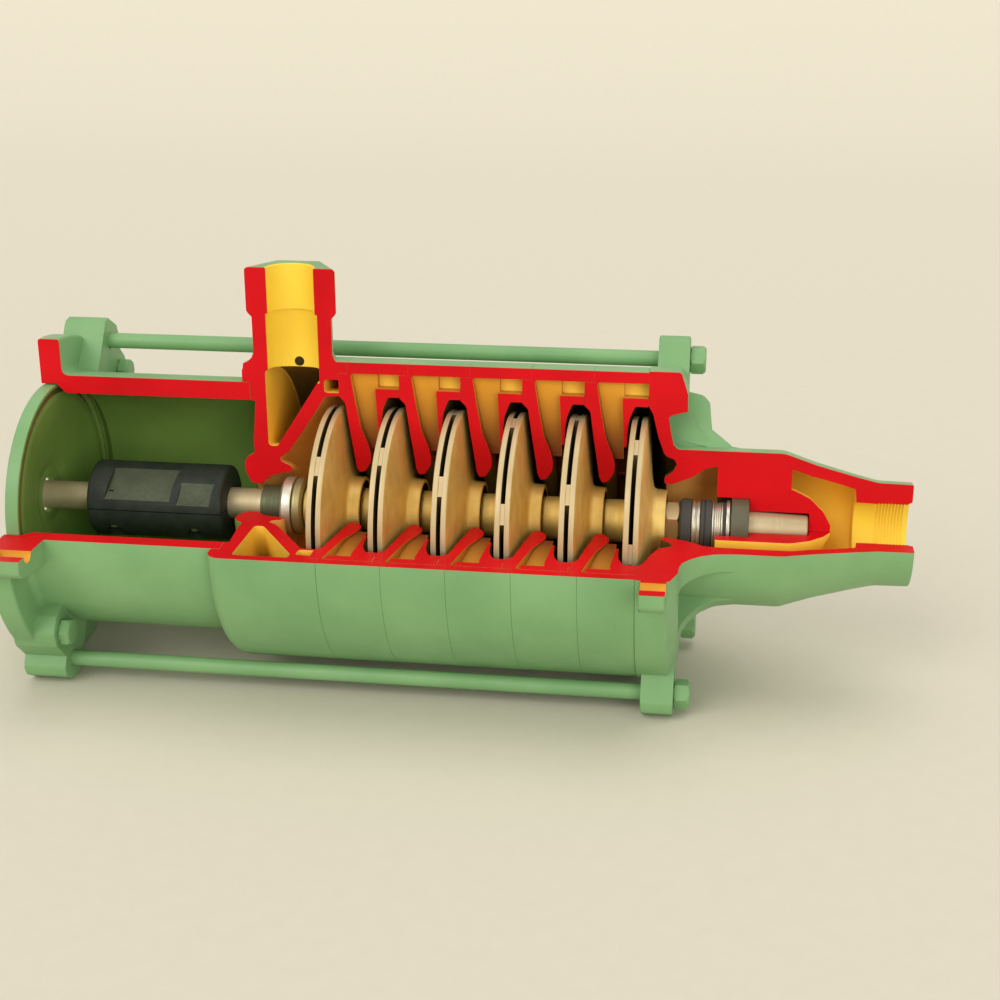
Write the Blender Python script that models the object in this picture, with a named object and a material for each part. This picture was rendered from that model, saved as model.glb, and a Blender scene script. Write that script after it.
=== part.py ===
"""Horizontal multistage centrifugal pump, shown with a quarter cut away.

The pump lies along +X: the motor lantern is at -X, six bronze impellers run in five stage
rings between a discharge casing and a suction casing, and the threaded suction port is at +X.
The quarter in front of and above the shaft (-Y, +Z) is cut out of every casing piece, and the
rotor is left whole. The pump stands on the flat undersides of its lower tie bolt lugs, with
the origin on the floor at the middle of its box. Sizes are in millimetres about the shaft axis
and are turned into metres where the vertices are made.
"""

import math

import bpy
import bmesh
from mathutils import Vector

MM = 0.001
GAP = 0.3

# Overall placing: the shaft axis above the floor, and the middle of the pump along X.
AXIS_HEIGHT = 125.5
LEFT_END = -252.0
RIGHT_END = 415.0
MIDDLE = 0.5 * (LEFT_END + RIGHT_END)

# The cut: casing pieces run from straight up, round the back and the bottom, to the front.
CUT_START = -180.0
CUT_END = 90.0
CASING_STEPS = 21
TURN_STEPS = 28

# Whole turnings start a little past level, so that no corner lies in the planes of the cut.
SKEW = 1.7

# Stages.
STAGES = 6
PITCH = 46.0
CASING_RADIUS = 115.0
CASING_BORE = 106.5
SPIGOT_RADIUS = 105.5
FIRST_SEAM = -2.0
IMPELLER_PITCH = 45.7
FIRST_IMPELLER = -18.1
IMPELLER_RADIUS = 78.5
VANES = 6
VANE_SWEEP = -50.0
RETURN_VANES = 7
RETURN_SWEEP = 6.0
RETURN_LEAD = -176.9
BLOCK_RADIUS = 105.4

# Where the first vane of each impeller meets the rim, in degrees from +Y towards +Z.
IMPELLER_TURNS = (17.9, 10.5, 26.2, 39.4, 27.6, 57.3)

# Tie bolts.
ROD_CIRCLE = 126.1
ROD_RADIUS = 6.0
ROD_HOLE = 6.75
ROD_ANGLES = (0.0, 60.0, 240.0, 300.0)
LUG_ANGLES = (0.0, 60.0, 180.0, 240.0, 300.0)
LUG_TOP = 142.0
LUG_HALF_WIDTH = 15.0

# Lantern and motor flange.
FLANGE_LEFT = -242.0
FLANGE_RIGHT = -225.0
LUG_FACE = -209.0
FLANGE_RADIUS = 125.0
LANTERN_RADIUS = 97.0
LANTERN_BORE = 83.0
LANTERN_END = -77.0
REGISTER_RADIUS = 90.0
BOLT_CIRCLE = 113.0
BOLT_ANGLES = (45.0, 225.0, 315.0)
BOLT_RADIUS = 6.0

# Discharge casing.
SHOULDER = -83.0
NOZZLE_X = -43.0
NOZZLE_TOP = 184.5
NECK_RADIUS = 30.2
BOSS_RADIUS = 34.2
PORT_BORE = 18.5
NECK_BORE = 21.0

# Suction casing.
SUCTION_LEFT = 222.0
SUCTION_LUGS = 225.8
SUCTION_FLANGE = 249.3
CUT_LUG_FACE = 243.5
NECK_OUTER = 57.8
POCKET_CENTRES = (30.0, 90.0, 210.0, 270.0, 330.0)
POCKET_HALF_ANGLE = 16.0
PORT_OUTER = 38.0
PORT_INNER = 23.7

# Shaft.
SHAFT_RADIUS = 12.0
SHAFT_LEFT = -148.0
SHAFT_RIGHT = 341.0
MOTOR_SHAFT_RADIUS = 11.0

# Coupling.
COUPLING_LEFT = -199.0
COUPLING_RIGHT = -98.0
COUPLING_RADIUS = 29.0
SCREW_STATIONS = (-184.0, -120.0)
SCREW_OFFSET = 20.0


def clear_scene():
    """Remove every object of the open scene."""
    for item in list(bpy.data.objects):
        bpy.data.objects.remove(item, do_unlink=True)


def material(name, colour, roughness, metallic=0.0):
    """Return the named Principled material, made on its first use.

    Args:
        name: The material's name.
        colour: Linear red, green and blue.
        roughness: The surface's roughness from 0 to 1.
        metallic: 1 for bare metal, 0 for paint.

    Returns:
        The material.
    """
    found = bpy.data.materials.get(name)
    if found:
        return found
    made = bpy.data.materials.new(name)
    made.use_nodes = True
    shader = made.node_tree.nodes["Principled BSDF"]
    shader.inputs["Base Color"].default_value = (*colour, 1.0)
    shader.inputs["Roughness"].default_value = roughness
    shader.inputs["Metallic"].default_value = metallic
    return made


def green_paint():
    """Return the casing's green paint."""
    return material("green_paint", (0.195, 0.362, 0.138), 0.45)


def bronze():
    """Return the impellers' cast bronze."""
    return material("bronze", (0.62, 0.42, 0.16), 0.38, 1.0)


def bright_steel():
    """Return turned steel."""
    return material("bright_steel", (0.62, 0.61, 0.58), 0.28, 1.0)


def black_rubber():
    """Return the seals' black rubber."""
    return material("black_rubber", (0.02, 0.02, 0.02), 0.6)


def dark_iron():
    """Return the coupling's blackened iron."""
    return material("dark_iron", (0.03, 0.035, 0.03), 0.45, 0.6)


class Assembly:
    """The two empties that carry the pieces, and the list of the pieces.

    Attributes:
        casing: The empty on the shaft axis that carries every fixed piece.
        rotor: The empty on the shaft axis that carries every turning piece.
    """

    def __init__(self):
        """Put both empties on the shaft axis."""
        self.casing = self._empty("casing_axis")
        self.rotor = self._empty("rotor_axis")

    @staticmethod
    def _empty(name):
        """Return an empty on the shaft axis, above the middle of the pump."""
        made = bpy.data.objects.new(name, None)
        made.empty_display_size = 0.05
        made.location = (-MIDDLE * MM, 0.0, AXIS_HEIGHT * MM)
        bpy.context.scene.collection.objects.link(made)
        return made

    def fix(self, item, finish):
        """Give a piece its material and hang it on the casing."""
        self._hang(item, finish, self.casing)

    def turn(self, item, finish):
        """Give a piece its material and hang it on the rotor."""
        self._hang(item, finish, self.rotor)

    @staticmethod
    def _hang(item, finish, parent):
        """Parent a piece, give it its material and shade its round faces smooth."""
        item.parent = parent
        item.data.materials.clear()
        item.data.materials.append(finish)
        item.data.shade_smooth()
        item.data.set_sharp_from_angle(angle=math.radians(32.0))


def object_from(name, mesh_builder):
    """Return a new object whose mesh is the given bmesh, with its faces pointing out."""
    bmesh.ops.recalc_face_normals(mesh_builder, faces=mesh_builder.faces)
    mesh = bpy.data.meshes.new(name)
    mesh_builder.to_mesh(mesh)
    mesh_builder.free()
    made = bpy.data.objects.new(name, mesh)
    bpy.context.scene.collection.objects.link(made)
    return made


def turned(name, profile, steps=24, start=0.0, end=360.0):
    """Return a solid turned about the X axis.

    Args:
        name: The object's name.
        profile: The closed outline as (x, radius) points, none of them on the axis twice.
        steps: How many flats the turning has.
        start: The first angle in degrees, from +Y towards +Z.
        end: The last angle. A full turn is closed, and less gets two flat caps.

    Returns:
        The object.
    """
    full = abs(end - start - 360.0) < 1e-6
    builder = bmesh.new()
    rings = []
    axis_points = {}
    for step in range(steps if full else steps + 1):
        angle = math.radians(start + (end - start) * step / steps)
        ring = []
        for index, (x, radius) in enumerate(profile):
            if radius < 1e-6:
                if index not in axis_points:
                    axis_points[index] = builder.verts.new((x * MM, 0.0, 0.0))
                ring.append(axis_points[index])
                continue
            y = radius * math.cos(angle)
            z = radius * math.sin(angle)
            ring.append(builder.verts.new((x * MM, y * MM, z * MM)))
        rings.append(ring)
    pairs = list(zip(rings, rings[1:]))
    if full:
        pairs.append((rings[-1], rings[0]))
    count = len(profile)
    for here, there in pairs:
        for index in range(count):
            after = (index + 1) % count
            corners = [here[index], here[after], there[after], there[index]]
            distinct = list(dict.fromkeys(corners))
            if len(distinct) > 2:
                builder.faces.new(distinct)
    if not full:
        builder.faces.new(rings[0])
        builder.faces.new(rings[-1])
    return object_from(name, builder)


def full_turned(name, profile, steps=TURN_STEPS):
    """Return a casing solid turned all the way round, ready for its holes and the quarter cut."""
    return turned(name, profile, steps, SKEW, 360.0 + SKEW)


def cut_turned(name, profile, steps=CASING_STEPS):
    """Return a casing solid turned through the three quarters that are kept."""
    return turned(name, profile, steps, CUT_START, CUT_END)


def prism(name, outline, low, high, axis="X"):
    """Return a straight solid: an outline drawn across an axis and drawn out along it.

    Args:
        name: The object's name.
        outline: The closed outline, as (y, z) points for X and (x, y) points for Z.
        low: Where the solid starts along the axis.
        high: Where it ends.
        axis: "X" or "Z".

    Returns:
        The object.
    """
    builder = bmesh.new()
    ends = []
    for level in (low, high):
        ring = []
        for a, b in outline:
            point = (level, a, b) if axis == "X" else (a, b, level)
            ring.append(builder.verts.new(Vector(point) * MM))
        ends.append(ring)
    count = len(outline)
    for index in range(count):
        after = (index + 1) % count
        builder.faces.new((ends[0][index], ends[0][after], ends[1][after], ends[1][index]))
    builder.faces.new(ends[0])
    builder.faces.new(ends[1])
    return object_from(name, builder)


def stack(name, sections, centre, sides, turn=0.0):
    """Return a tower of regular polygons about a vertical axis, for the nozzle's boss.

    Args:
        name: The object's name.
        sections: The (height, corner radius) of each level, from low to high.
        centre: The tower's (x, y).
        sides: How many sides the polygon has.
        turn: The angle of its first corner, in degrees.

    Returns:
        The object.
    """
    builder = bmesh.new()
    rings = []
    for height, radius in sections:
        ring = []
        for x, y in ngon(sides, radius, centre, turn):
            ring.append(builder.verts.new((x * MM, y * MM, height * MM)))
        rings.append(ring)
    for lower, upper in zip(rings, rings[1:]):
        for index in range(sides):
            after = (index + 1) % sides
            builder.faces.new((lower[index], lower[after], upper[after], upper[index]))
    builder.faces.new(rings[0])
    builder.faces.new(rings[-1])
    return object_from(name, builder)


def ngon(sides, radius, centre=(0.0, 0.0), turn=0.0):
    """Return the corners of a regular polygon."""
    corners = []
    for index in range(sides):
        angle = math.radians(turn + 360.0 * index / sides)
        corners.append((centre[0] + radius * math.cos(angle), centre[1] + radius * math.sin(angle)))
    return corners


def polar(radius, angle):
    """Return the (y, z) point at a radius and an angle in degrees from +Y towards +Z."""
    radians = math.radians(angle)
    return (radius * math.cos(radians), radius * math.sin(radians))


def rod(name, radius, low, high, centre, sides=16):
    """Return a round bar along X about a (y, z) centre."""
    return prism(name, ngon(sides, radius, centre, 180.0 / sides), low, high)


def combine(target, tool, operation):
    """Unite, cut or intersect a solid with another, which is used up.

    Args:
        target: The solid that is kept.
        tool: The solid that it meets.
        operation: "UNION", "DIFFERENCE" or "INTERSECT".

    Returns:
        The target.
    """
    modifier = target.modifiers.new(operation.title(), "BOOLEAN")
    modifier.operation = operation
    modifier.solver = "EXACT"
    modifier.object = tool
    graph = bpy.context.evaluated_depsgraph_get()
    result = bpy.data.meshes.new_from_object(target.evaluated_get(graph))
    target.modifiers.clear()
    spent = (target.data, tool.data)
    target.data = result
    bpy.data.objects.remove(tool, do_unlink=True)
    for mesh in spent:
        bpy.data.meshes.remove(mesh)
    target.data.name = target.name
    return target


def tidy_faces(item):
    """Melt edges between faces in one plane, so that a cut solid keeps few faces."""
    builder = bmesh.new()
    builder.from_mesh(item.data)
    bmesh.ops.remove_doubles(builder, verts=builder.verts, dist=0.000005)
    bmesh.ops.dissolve_degenerate(builder, edges=builder.edges, dist=0.000002)
    bmesh.ops.dissolve_limit(
        builder,
        angle_limit=math.radians(0.2),
        verts=builder.verts,
        edges=builder.edges,
        delimit={"NORMAL"},
    )
    bmesh.ops.triangulate(builder, faces=builder.faces, ngon_method="EAR_CLIP")
    builder.to_mesh(item.data)
    builder.free()


def trim_quarter(item):
    """Cut the front upper quarter off a casing piece."""
    reach = 400.0
    outline = [(-reach, 0.0), (0.0, 0.0), (0.0, reach), (-reach, reach)]
    return combine(item, prism("quarter", outline, -reach, 2.0 * reach), "DIFFERENCE")


def trim_floor(item):
    """Cut a piece's feet flat at floor level."""
    reach = 300.0
    outline = [(-reach, -reach), (reach, -reach), (reach, -AXIS_HEIGHT), (-reach, -AXIS_HEIGHT)]
    return combine(item, prism("floor", outline, -reach, 2.0 * reach), "DIFFERENCE")


def lug_outline(angle, inner):
    """Return the (y, z) outline of one tie bolt lug, from a radius out to its top."""
    along = Vector(polar(1.0, angle))
    across = Vector((-along.y, along.x))
    half = LUG_HALF_WIDTH
    shoulder = LUG_TOP - 6.0
    shape = [
        (inner, -half - 4.0),
        (CASING_RADIUS + 2.0, -half - 1.0),
        (shoulder, -half),
        (LUG_TOP, -half + 5.0),
        (LUG_TOP, half - 5.0),
        (shoulder, half),
        (CASING_RADIUS + 2.0, half + 1.0),
        (inner, half + 4.0),
    ]
    return [tuple(along * reach + across * side) for reach, side in shape]


def boss_outline(rod_angle, bolt_angle):
    """Return the (y, z) outline of the pad that joins a rod lug to the flange bolt beside it."""
    side = 1.0 if bolt_angle > rod_angle else -1.0
    return [
        polar(95.0, rod_angle - 4.0 * side),
        polar(124.0, rod_angle - 4.0 * side),
        polar(129.0, rod_angle + 4.0 * side),
        polar(127.0, bolt_angle + 1.0 * side),
        polar(122.0, bolt_angle + 6.5 * side),
        polar(109.0, bolt_angle + 8.5 * side),
        polar(95.0, bolt_angle + 7.0 * side),
    ]


def build_lantern_tube(pump):
    """Make the plain tube of the lantern, from its flange to the discharge casing."""
    left, right = LUG_FACE + GAP, LANTERN_END - GAP
    profile = [
        (left, LANTERN_BORE),
        (left, LANTERN_RADIUS),
        (right, LANTERN_RADIUS),
        (right, LANTERN_BORE),
    ]
    tube = full_turned("lantern_tube", profile)
    trim_quarter(tube)
    tidy_faces(tube)
    pump.fix(tube, green_paint())


def build_lantern_flange(pump):
    """Make the lantern's motor flange with its collar, lugs and bolt pads."""
    profile = [
        (FLANGE_LEFT, REGISTER_RADIUS),
        (FLANGE_LEFT, FLANGE_RADIUS - 2.0),
        (FLANGE_LEFT + 2.0, FLANGE_RADIUS),
        (FLANGE_RIGHT - 2.0, FLANGE_RADIUS),
        (FLANGE_RIGHT, FLANGE_RADIUS - 2.0),
        (FLANGE_RIGHT, LANTERN_RADIUS + 5.0),
        (FLANGE_RIGHT + 5.0, LANTERN_RADIUS),
        (LUG_FACE, LANTERN_RADIUS),
        (LUG_FACE, LANTERN_BORE),
        (FLANGE_RIGHT + 2.0, LANTERN_BORE),
        (-230.0, REGISTER_RADIUS),
    ]
    flange = full_turned("lantern_flange", profile)
    for angle in LUG_ANGLES:
        lug = prism("lug", lug_outline(angle, 90.5), FLANGE_LEFT, LUG_FACE)
        combine(flange, lug, "UNION")
    for rod_angle, bolt_angle in ((60.0, 45.0), (240.0, 225.0), (300.0, 315.0)):
        pad = prism("pad", boss_outline(rod_angle, bolt_angle), FLANGE_LEFT, LUG_FACE)
        combine(flange, pad, "UNION")
    for angle in LUG_ANGLES:
        hole = rod("hole", ROD_RADIUS + GAP, FLANGE_LEFT + 9.0, 0.0, polar(ROD_CIRCLE, angle))
        combine(flange, hole, "DIFFERENCE")
    for angle in BOLT_ANGLES:
        hole = rod("hole", BOLT_RADIUS + 1.0, -300.0, 0.0, polar(BOLT_CIRCLE, angle))
        combine(flange, hole, "DIFFERENCE")
    trim_quarter(flange)
    trim_floor(flange)
    tidy_faces(flange)
    pump.fix(flange, green_paint())


def build_end_shield(pump):
    """Make the dished end shield of the motor, seen inside the lantern."""
    profile = [
        (-250.0, 14.5),
        (-250.0, 30.0),
        (-243.0, 70.0),
        (-241.0, REGISTER_RADIUS - 1.0),
        (-231.0, REGISTER_RADIUS - 1.0),
        (-231.0, 76.0),
        (-241.0, 30.0),
        (-244.0, 22.0),
        (-244.0, 14.5),
    ]
    pump.fix(turned("motor_end_shield", profile, 24), green_paint())


def build_discharge_casing(pump):
    """Make the discharge casing: the annular collector, the seal hub and the nozzle."""
    outer = [
        (LANTERN_END, LANTERN_RADIUS + GAP),
        (SHOULDER, LANTERN_RADIUS + GAP),
        (SHOULDER, 106.0),
        (-80.0, 111.5),
        (-75.0, CASING_RADIUS),
        (FIRST_SEAM - GAP, CASING_RADIUS),
        (FIRST_SEAM - GAP, CASING_BORE),
        (-9.3, CASING_BORE),
        (-9.3, 101.0),
        (-20.0, 101.0),
        (-20.0, 91.0),
        (-9.3, 91.0),
        (-9.3, 88.5),
        (-19.5, 88.0),
        (-30.0, 72.0),
        (-40.0, 57.0),
        (-49.5, 43.5),
        (-57.0, 38.0),
        (-55.5, 35.5),
        (-47.0, 32.3),
        (-46.5, 28.5),
        (-63.0, 25.0),
        (-70.0, 17.2),
        (-80.0, 17.2),
        (-84.4, 26.5),
        (-84.6, 34.0),
        (-81.5, 38.5),
        (-76.0, 42.0),
    ]
    casing = full_turned("discharge_casing", outer)
    neck_levels = [
        (CASING_BORE + 0.4, NECK_RADIUS + 9.2),
        (111.0, NECK_RADIUS + 8.0),
        (119.5, NECK_RADIUS),
        (160.0, NECK_RADIUS),
    ]
    neck = stack("neck", neck_levels, (NOZZLE_X, 0.0), 28)
    boss_levels = [
        (146.5, NECK_RADIUS - 1.0),
        (150.5, BOSS_RADIUS),
        (NOZZLE_TOP - 1.5, BOSS_RADIUS),
        (NOZZLE_TOP, BOSS_RADIUS - 2.0),
    ]
    boss = stack("boss", boss_levels, (NOZZLE_X, 0.0), 6)
    combine(casing, neck, "UNION")
    combine(casing, boss, "UNION")
    collector = [(-65.0, 47.5), (-65.0, 107.0), (-24.0, 107.0), (-24.0, 100.0), (-58.0, 47.5)]
    combine(casing, full_turned("collector", collector), "DIFFERENCE")
    bore = stack("bore", [(98.0, NECK_BORE), (150.0, NECK_BORE)], (NOZZLE_X, 0.0), 24)
    combine(casing, bore, "DIFFERENCE")
    bore = stack("bore", [(149.0, PORT_BORE), (190.0, PORT_BORE)], (NOZZLE_X, 0.0), 24)
    combine(casing, bore, "DIFFERENCE")
    trim_quarter(casing)
    tidy_faces(casing)
    pump.fix(casing, green_paint())


def build_stage_rings(pump):
    """Make the five stage rings, each an outer wall with its slanted diaphragm."""
    last = STAGES - 2
    for stage in range(STAGES - 1):
        start = stage * PITCH
        wall_end = PITCH + FIRST_SEAM - GAP
        if stage == last:
            wall_end = SUCTION_LEFT - start - GAP
        profile = [
            (FIRST_SEAM, SPIGOT_RADIUS),
            (FIRST_SEAM, CASING_RADIUS),
            (wall_end, CASING_RADIUS),
            (wall_end, CASING_BORE),
            (0.0, CASING_BORE),
            (3.4, 84.0),
            (7.2, 64.0),
            (12.3, 52.0),
            (14.2, 44.0),
            (14.0, 37.5),
            (9.5, 30.5),
            (5.0, 29.5),
            (2.8, 34.0),
            (-1.8, 64.4),
            (-4.4, 84.0),
            (-9.0, 88.5),
            (-9.0, SPIGOT_RADIUS),
        ]
        shifted = [(x + start, radius) for x, radius in profile]
        ring = cut_turned(f"stage_ring_{stage + 1}", shifted)
        tidy_faces(ring)
        pump.fix(ring, green_paint())


def vane_outline(inner, outer, lead, sweep, half_angle, points=4):
    """Return the (y, z) outline of a vane that curves as it goes out.

    Args:
        inner: The vane's inner radius.
        outer: Its outer radius.
        lead: The angle of its inner end, in degrees.
        sweep: How far it turns on its way out.
        half_angle: Half its thickness as (inner, outer) angles.
        points: How many steps each flank has.

    Returns:
        The outline.
    """
    sides = ([], [])
    for index in range(points + 1):
        share = index / points
        radius = inner + (outer - inner) * share
        centre = lead + sweep * share
        half = half_angle[0] + (half_angle[1] - half_angle[0]) * share
        sides[0].append(polar(radius, centre - half))
        sides[1].append(polar(radius, centre + half))
    return sides[0] + sides[1][::-1]


def add_in_path(diffuser, outline, path, start):
    """Add a vane or block to a diffuser, as far as it lies within a turned path.

    Args:
        diffuser: The diffuser.
        outline: The (y, z) outline of the vane or block.
        path: The (x, radius) outline that it keeps within, in the stage's own x.
        start: Where the stage starts.
    """
    solid = prism("vane", outline, start - 1.0, start + 39.0)
    shifted = [(x + start, radius) for x, radius in path]
    combine(solid, full_turned("path", shifted), "INTERSECT")
    combine(diffuser, solid, "UNION")


def build_diffusers(pump):
    """Make the five diffusers: back plate, hook, crossover blocks and return vanes."""
    for stage in range(STAGES - 1):
        start = stage * PITCH
        hook_end = 36.7 if stage < STAGES - 2 else SUCTION_LEFT - start - GAP
        plate = [
            (18.8, 95.4),
            (20.4, 58.0),
            (22.6, 60.0),
            (24.2, 79.0),
            (26.5, 85.5),
            (28.5, 89.0),
            (hook_end, 89.0),
            (hook_end, 95.4),
        ]
        shifted = [(x + start, radius) for x, radius in plate]
        diffuser = full_turned(f"diffuser_{stage + 1}", shifted)
        for index in range(RETURN_VANES - 1):
            turn = 360.0 * index / RETURN_VANES
            block = vane_outline(94.5, BLOCK_RADIUS, -180.0 + turn, 0.0, (7.0, 6.0), 1)
            path = [
                (3.0, 98.5),
                (20.2, 98.5),
                (20.2, 94.0),
                (hook_end - 0.6, 94.0),
                (hook_end - 0.6, CASING_BORE + 5.0),
                (3.0, CASING_BORE + 5.0),
            ]
            add_in_path(diffuser, block, path, start)
            vane = vane_outline(59.5, 101.0, RETURN_LEAD + turn, RETURN_SWEEP, (2.4, 1.4), 2)
            path = [
                (0.6, CASING_BORE),
                (4.0, 84.0),
                (7.8, 64.0),
                (11.0, 56.0),
                (21.3, 56.0),
                (21.3, CASING_BORE),
            ]
            add_in_path(diffuser, vane, path, start)
        trim_quarter(diffuser)
        tidy_faces(diffuser)
        pump.fix(diffuser, green_paint())


def build_suction_casing(pump):
    """Make the suction casing: flange, bell, neck, bearing bulb on its rib, and the port."""
    outer = [
        (SUCTION_LEFT, 90.0),
        (SUCTION_LEFT, CASING_RADIUS + 1.0),
        (245.0, CASING_RADIUS + 1.0),
        (248.0, 107.0),
        (250.4, 99.5),
        (250.7, 88.0),
        (252.5, 80.0),
        (257.0, 73.0),
        (264.5, 65.5),
        (275.0, 60.0),
        (290.0, NECK_OUTER),
        (322.0, NECK_OUTER),
        (345.0, 50.0),
        (375.0, 42.0),
        (390.0, 38.5),
        (RIGHT_END, PORT_OUTER),
        (RIGHT_END, PORT_INNER),
        (375.0, PORT_INNER),
        (374.0, 33.0),
        (360.0, 37.0),
        (342.0, 41.5),
        (328.0, 46.0),
        (275.0, 46.0),
        (265.5, 44.0),
        (255.0, 36.5),
        (241.0, 30.8),
        (235.2, 30.8),
        (235.2, 36.0),
        (241.0, 40.0),
        (244.0, 46.0),
        (242.0, 49.8),
        (235.0, 52.5),
        (230.0, 66.0),
        (225.5, 84.0),
    ]
    casing = full_turned("suction_casing", outer)
    bulb = [
        (274.0, 31.0),
        (328.0, 31.0),
        (342.0, 24.0),
        (352.0, 14.0),
        (357.5, 4.0),
        (357.5, 0.0),
        (343.0, 0.0),
        (343.0, 14.5),
        (298.3, 14.5),
        (298.3, 21.8),
        (284.8, 21.8),
        (284.8, 26.0),
        (274.0, 26.0),
    ]
    bulb_solid = full_turned("bulb", bulb, 24)
    for angle in (90.0, 210.0, 330.0):
        along = Vector(polar(1.0, angle))
        across = Vector((-along.y, along.x))
        corners = ((28.5, -8.0), (51.0, -8.0), (51.0, 8.0), (28.5, 8.0))
        outline = [tuple(along * reach + across * side) for reach, side in corners]
        combine(bulb_solid, prism("rib", outline, 274.0, 328.0), "UNION")
    combine(casing, bulb_solid, "UNION")
    for centre in POCKET_CENTRES:
        combine(casing, flange_pocket(centre), "DIFFERENCE")
    for angle in LUG_ANGLES:
        face = CUT_LUG_FACE if angle == CUT_START + 360.0 else SUCTION_FLANGE
        combine(casing, prism("lug", lug_outline(angle, 100.0), SUCTION_LUGS, face), "UNION")
    gusset = [
        (245.0, 97.0),
        (252.0, 97.0),
        (261.0, 95.0),
        (266.0, 89.5),
        (267.0, 68.5),
        (284.0, 57.0),
        (284.0, 52.0),
        (245.0, 60.0),
    ]
    combine(casing, gusset_block(gusset, 60.0, 15.0), "UNION")
    for angle in LUG_ANGLES:
        hole = rod("hole", ROD_HOLE, 200.0, 300.0, polar(ROD_CIRCLE, angle))
        combine(casing, hole, "DIFFERENCE")
    trim_quarter(casing)
    trim_floor(casing)
    tidy_faces(casing)
    pump.fix(casing, green_paint())


def flange_pocket(centre):
    """Return the cutter for the pocket behind the suction flange between two lugs."""
    profile = [
        (236.8, 82.8),
        (239.0, 70.5),
        (241.2, 61.0),
        (244.6, NECK_OUTER + 0.1),
        (296.0, NECK_OUTER + 0.1),
        (296.0, 86.8),
        (250.7, 86.8),
    ]
    low, high = centre - POCKET_HALF_ANGLE, centre + POCKET_HALF_ANGLE
    sector = [polar(40.0, low), polar(160.0, low), polar(160.0, high), polar(40.0, high)]
    pocket = full_turned("pocket", profile)
    return combine(pocket, prism("sector", sector, 220.0, 310.0), "INTERSECT")


def gusset_block(profile, angle, half_width):
    """Return a block with an (x, radius) outline, set across the plane at an angle."""
    along = Vector(polar(1.0, angle))
    across = Vector((-along.y, along.x))
    builder = bmesh.new()
    ends = []
    for side in (-half_width, half_width):
        ring = []
        for x, radius in profile:
            y, z = along * radius + across * side
            ring.append(builder.verts.new(Vector((x, y, z)) * MM))
        ends.append(ring)
    count = len(profile)
    for index in range(count):
        after = (index + 1) % count
        builder.faces.new((ends[0][index], ends[0][after], ends[1][after], ends[1][index]))
    builder.faces.new(ends[0])
    builder.faces.new(ends[1])
    return object_from("gusset", builder)


def build_bolts(pump):
    """Make the tie bolts and the motor flange bolts, each with its hexagon head."""
    for number, angle in enumerate(ROD_ANGLES, 1):
        centre = polar(ROD_CIRCLE, angle)
        bolt = rod(f"tie_bolt_{number}", ROD_RADIUS, FLANGE_LEFT + 10.0, SUCTION_FLANGE + 6.0, centre, 16)
        head = prism("head", ngon(6, 11.0, centre, angle), SUCTION_FLANGE + GAP, SUCTION_FLANGE + 12.0)
        combine(bolt, head, "UNION")
        tidy_faces(bolt)
        pump.fix(bolt, green_paint())
    for number, angle in enumerate(BOLT_ANGLES, 1):
        centre = polar(BOLT_CIRCLE, angle)
        bolt = rod(f"motor_bolt_{number}", BOLT_RADIUS, FLANGE_LEFT, LUG_FACE + 4.0, centre, 16)
        head = prism("head", ngon(6, 10.5, centre, angle), LUG_FACE + GAP, LUG_FACE + 8.5)
        combine(bolt, head, "UNION")
        tidy_faces(bolt)
        pump.fix(bolt, green_paint())


def build_impellers(pump):
    """Make the six closed impellers, which share one mesh and stand at their own angles."""
    bore = SHAFT_RADIUS + GAP
    back = [
        (-18.4, bore),
        (-18.4, 16.0),
        (0.0, 16.0),
        (0.0, IMPELLER_RADIUS),
        (3.5, IMPELLER_RADIUS),
        (6.0, 40.0),
        (14.0, 19.0),
        (27.0, 16.0),
        (27.0, bore),
    ]
    front = [
        (7.5, IMPELLER_RADIUS),
        (11.0, IMPELLER_RADIUS),
        (12.6, 64.0),
        (14.4, 48.0),
        (17.0, 36.0),
        (19.5, 30.0),
        (22.5, 26.3),
        (27.0, 25.5),
        (27.0, 21.5),
        (20.5, 24.0),
        (15.0, 33.0),
        (11.2, 47.0),
    ]
    first = turned("impeller_1", back, 18)
    combine(first, turned("shroud", front, 18), "UNION")
    for index in range(VANES):
        lead = 360.0 * index / VANES - VANE_SWEEP
        blade = vane_outline(30.0, IMPELLER_RADIUS - 1.2, lead, VANE_SWEEP, (3.5, 5.5), 2)
        vane = prism("vane", blade, 1.0, 30.0)
        path = [
            (2.5, IMPELLER_RADIUS),
            (8.5, IMPELLER_RADIUS),
            (12.4, 47.0),
            (17.0, 32.0),
            (18.0, 29.0),
            (7.0, 29.0),
            (5.0, 40.0),
        ]
        combine(vane, turned("path", path, 18), "INTERSECT")
        combine(first, vane, "UNION")
    tidy_faces(first)
    for index in range(STAGES):
        item = first
        if index:
            item = bpy.data.objects.new(f"impeller_{index + 1}", first.data)
            bpy.context.scene.collection.objects.link(item)
        item.location = ((FIRST_IMPELLER + IMPELLER_PITCH * index) * MM, 0.0, 0.0)
        item.rotation_euler = (math.radians(IMPELLER_TURNS[index]), 0.0, 0.0)
        pump.turn(item, bronze())


def ring(name, low, high, inner, outer, steps=20):
    """Return a plain turned ring."""
    return turned(name, [(low, inner), (low, outer), (high, outer), (high, inner)], steps)


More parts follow.
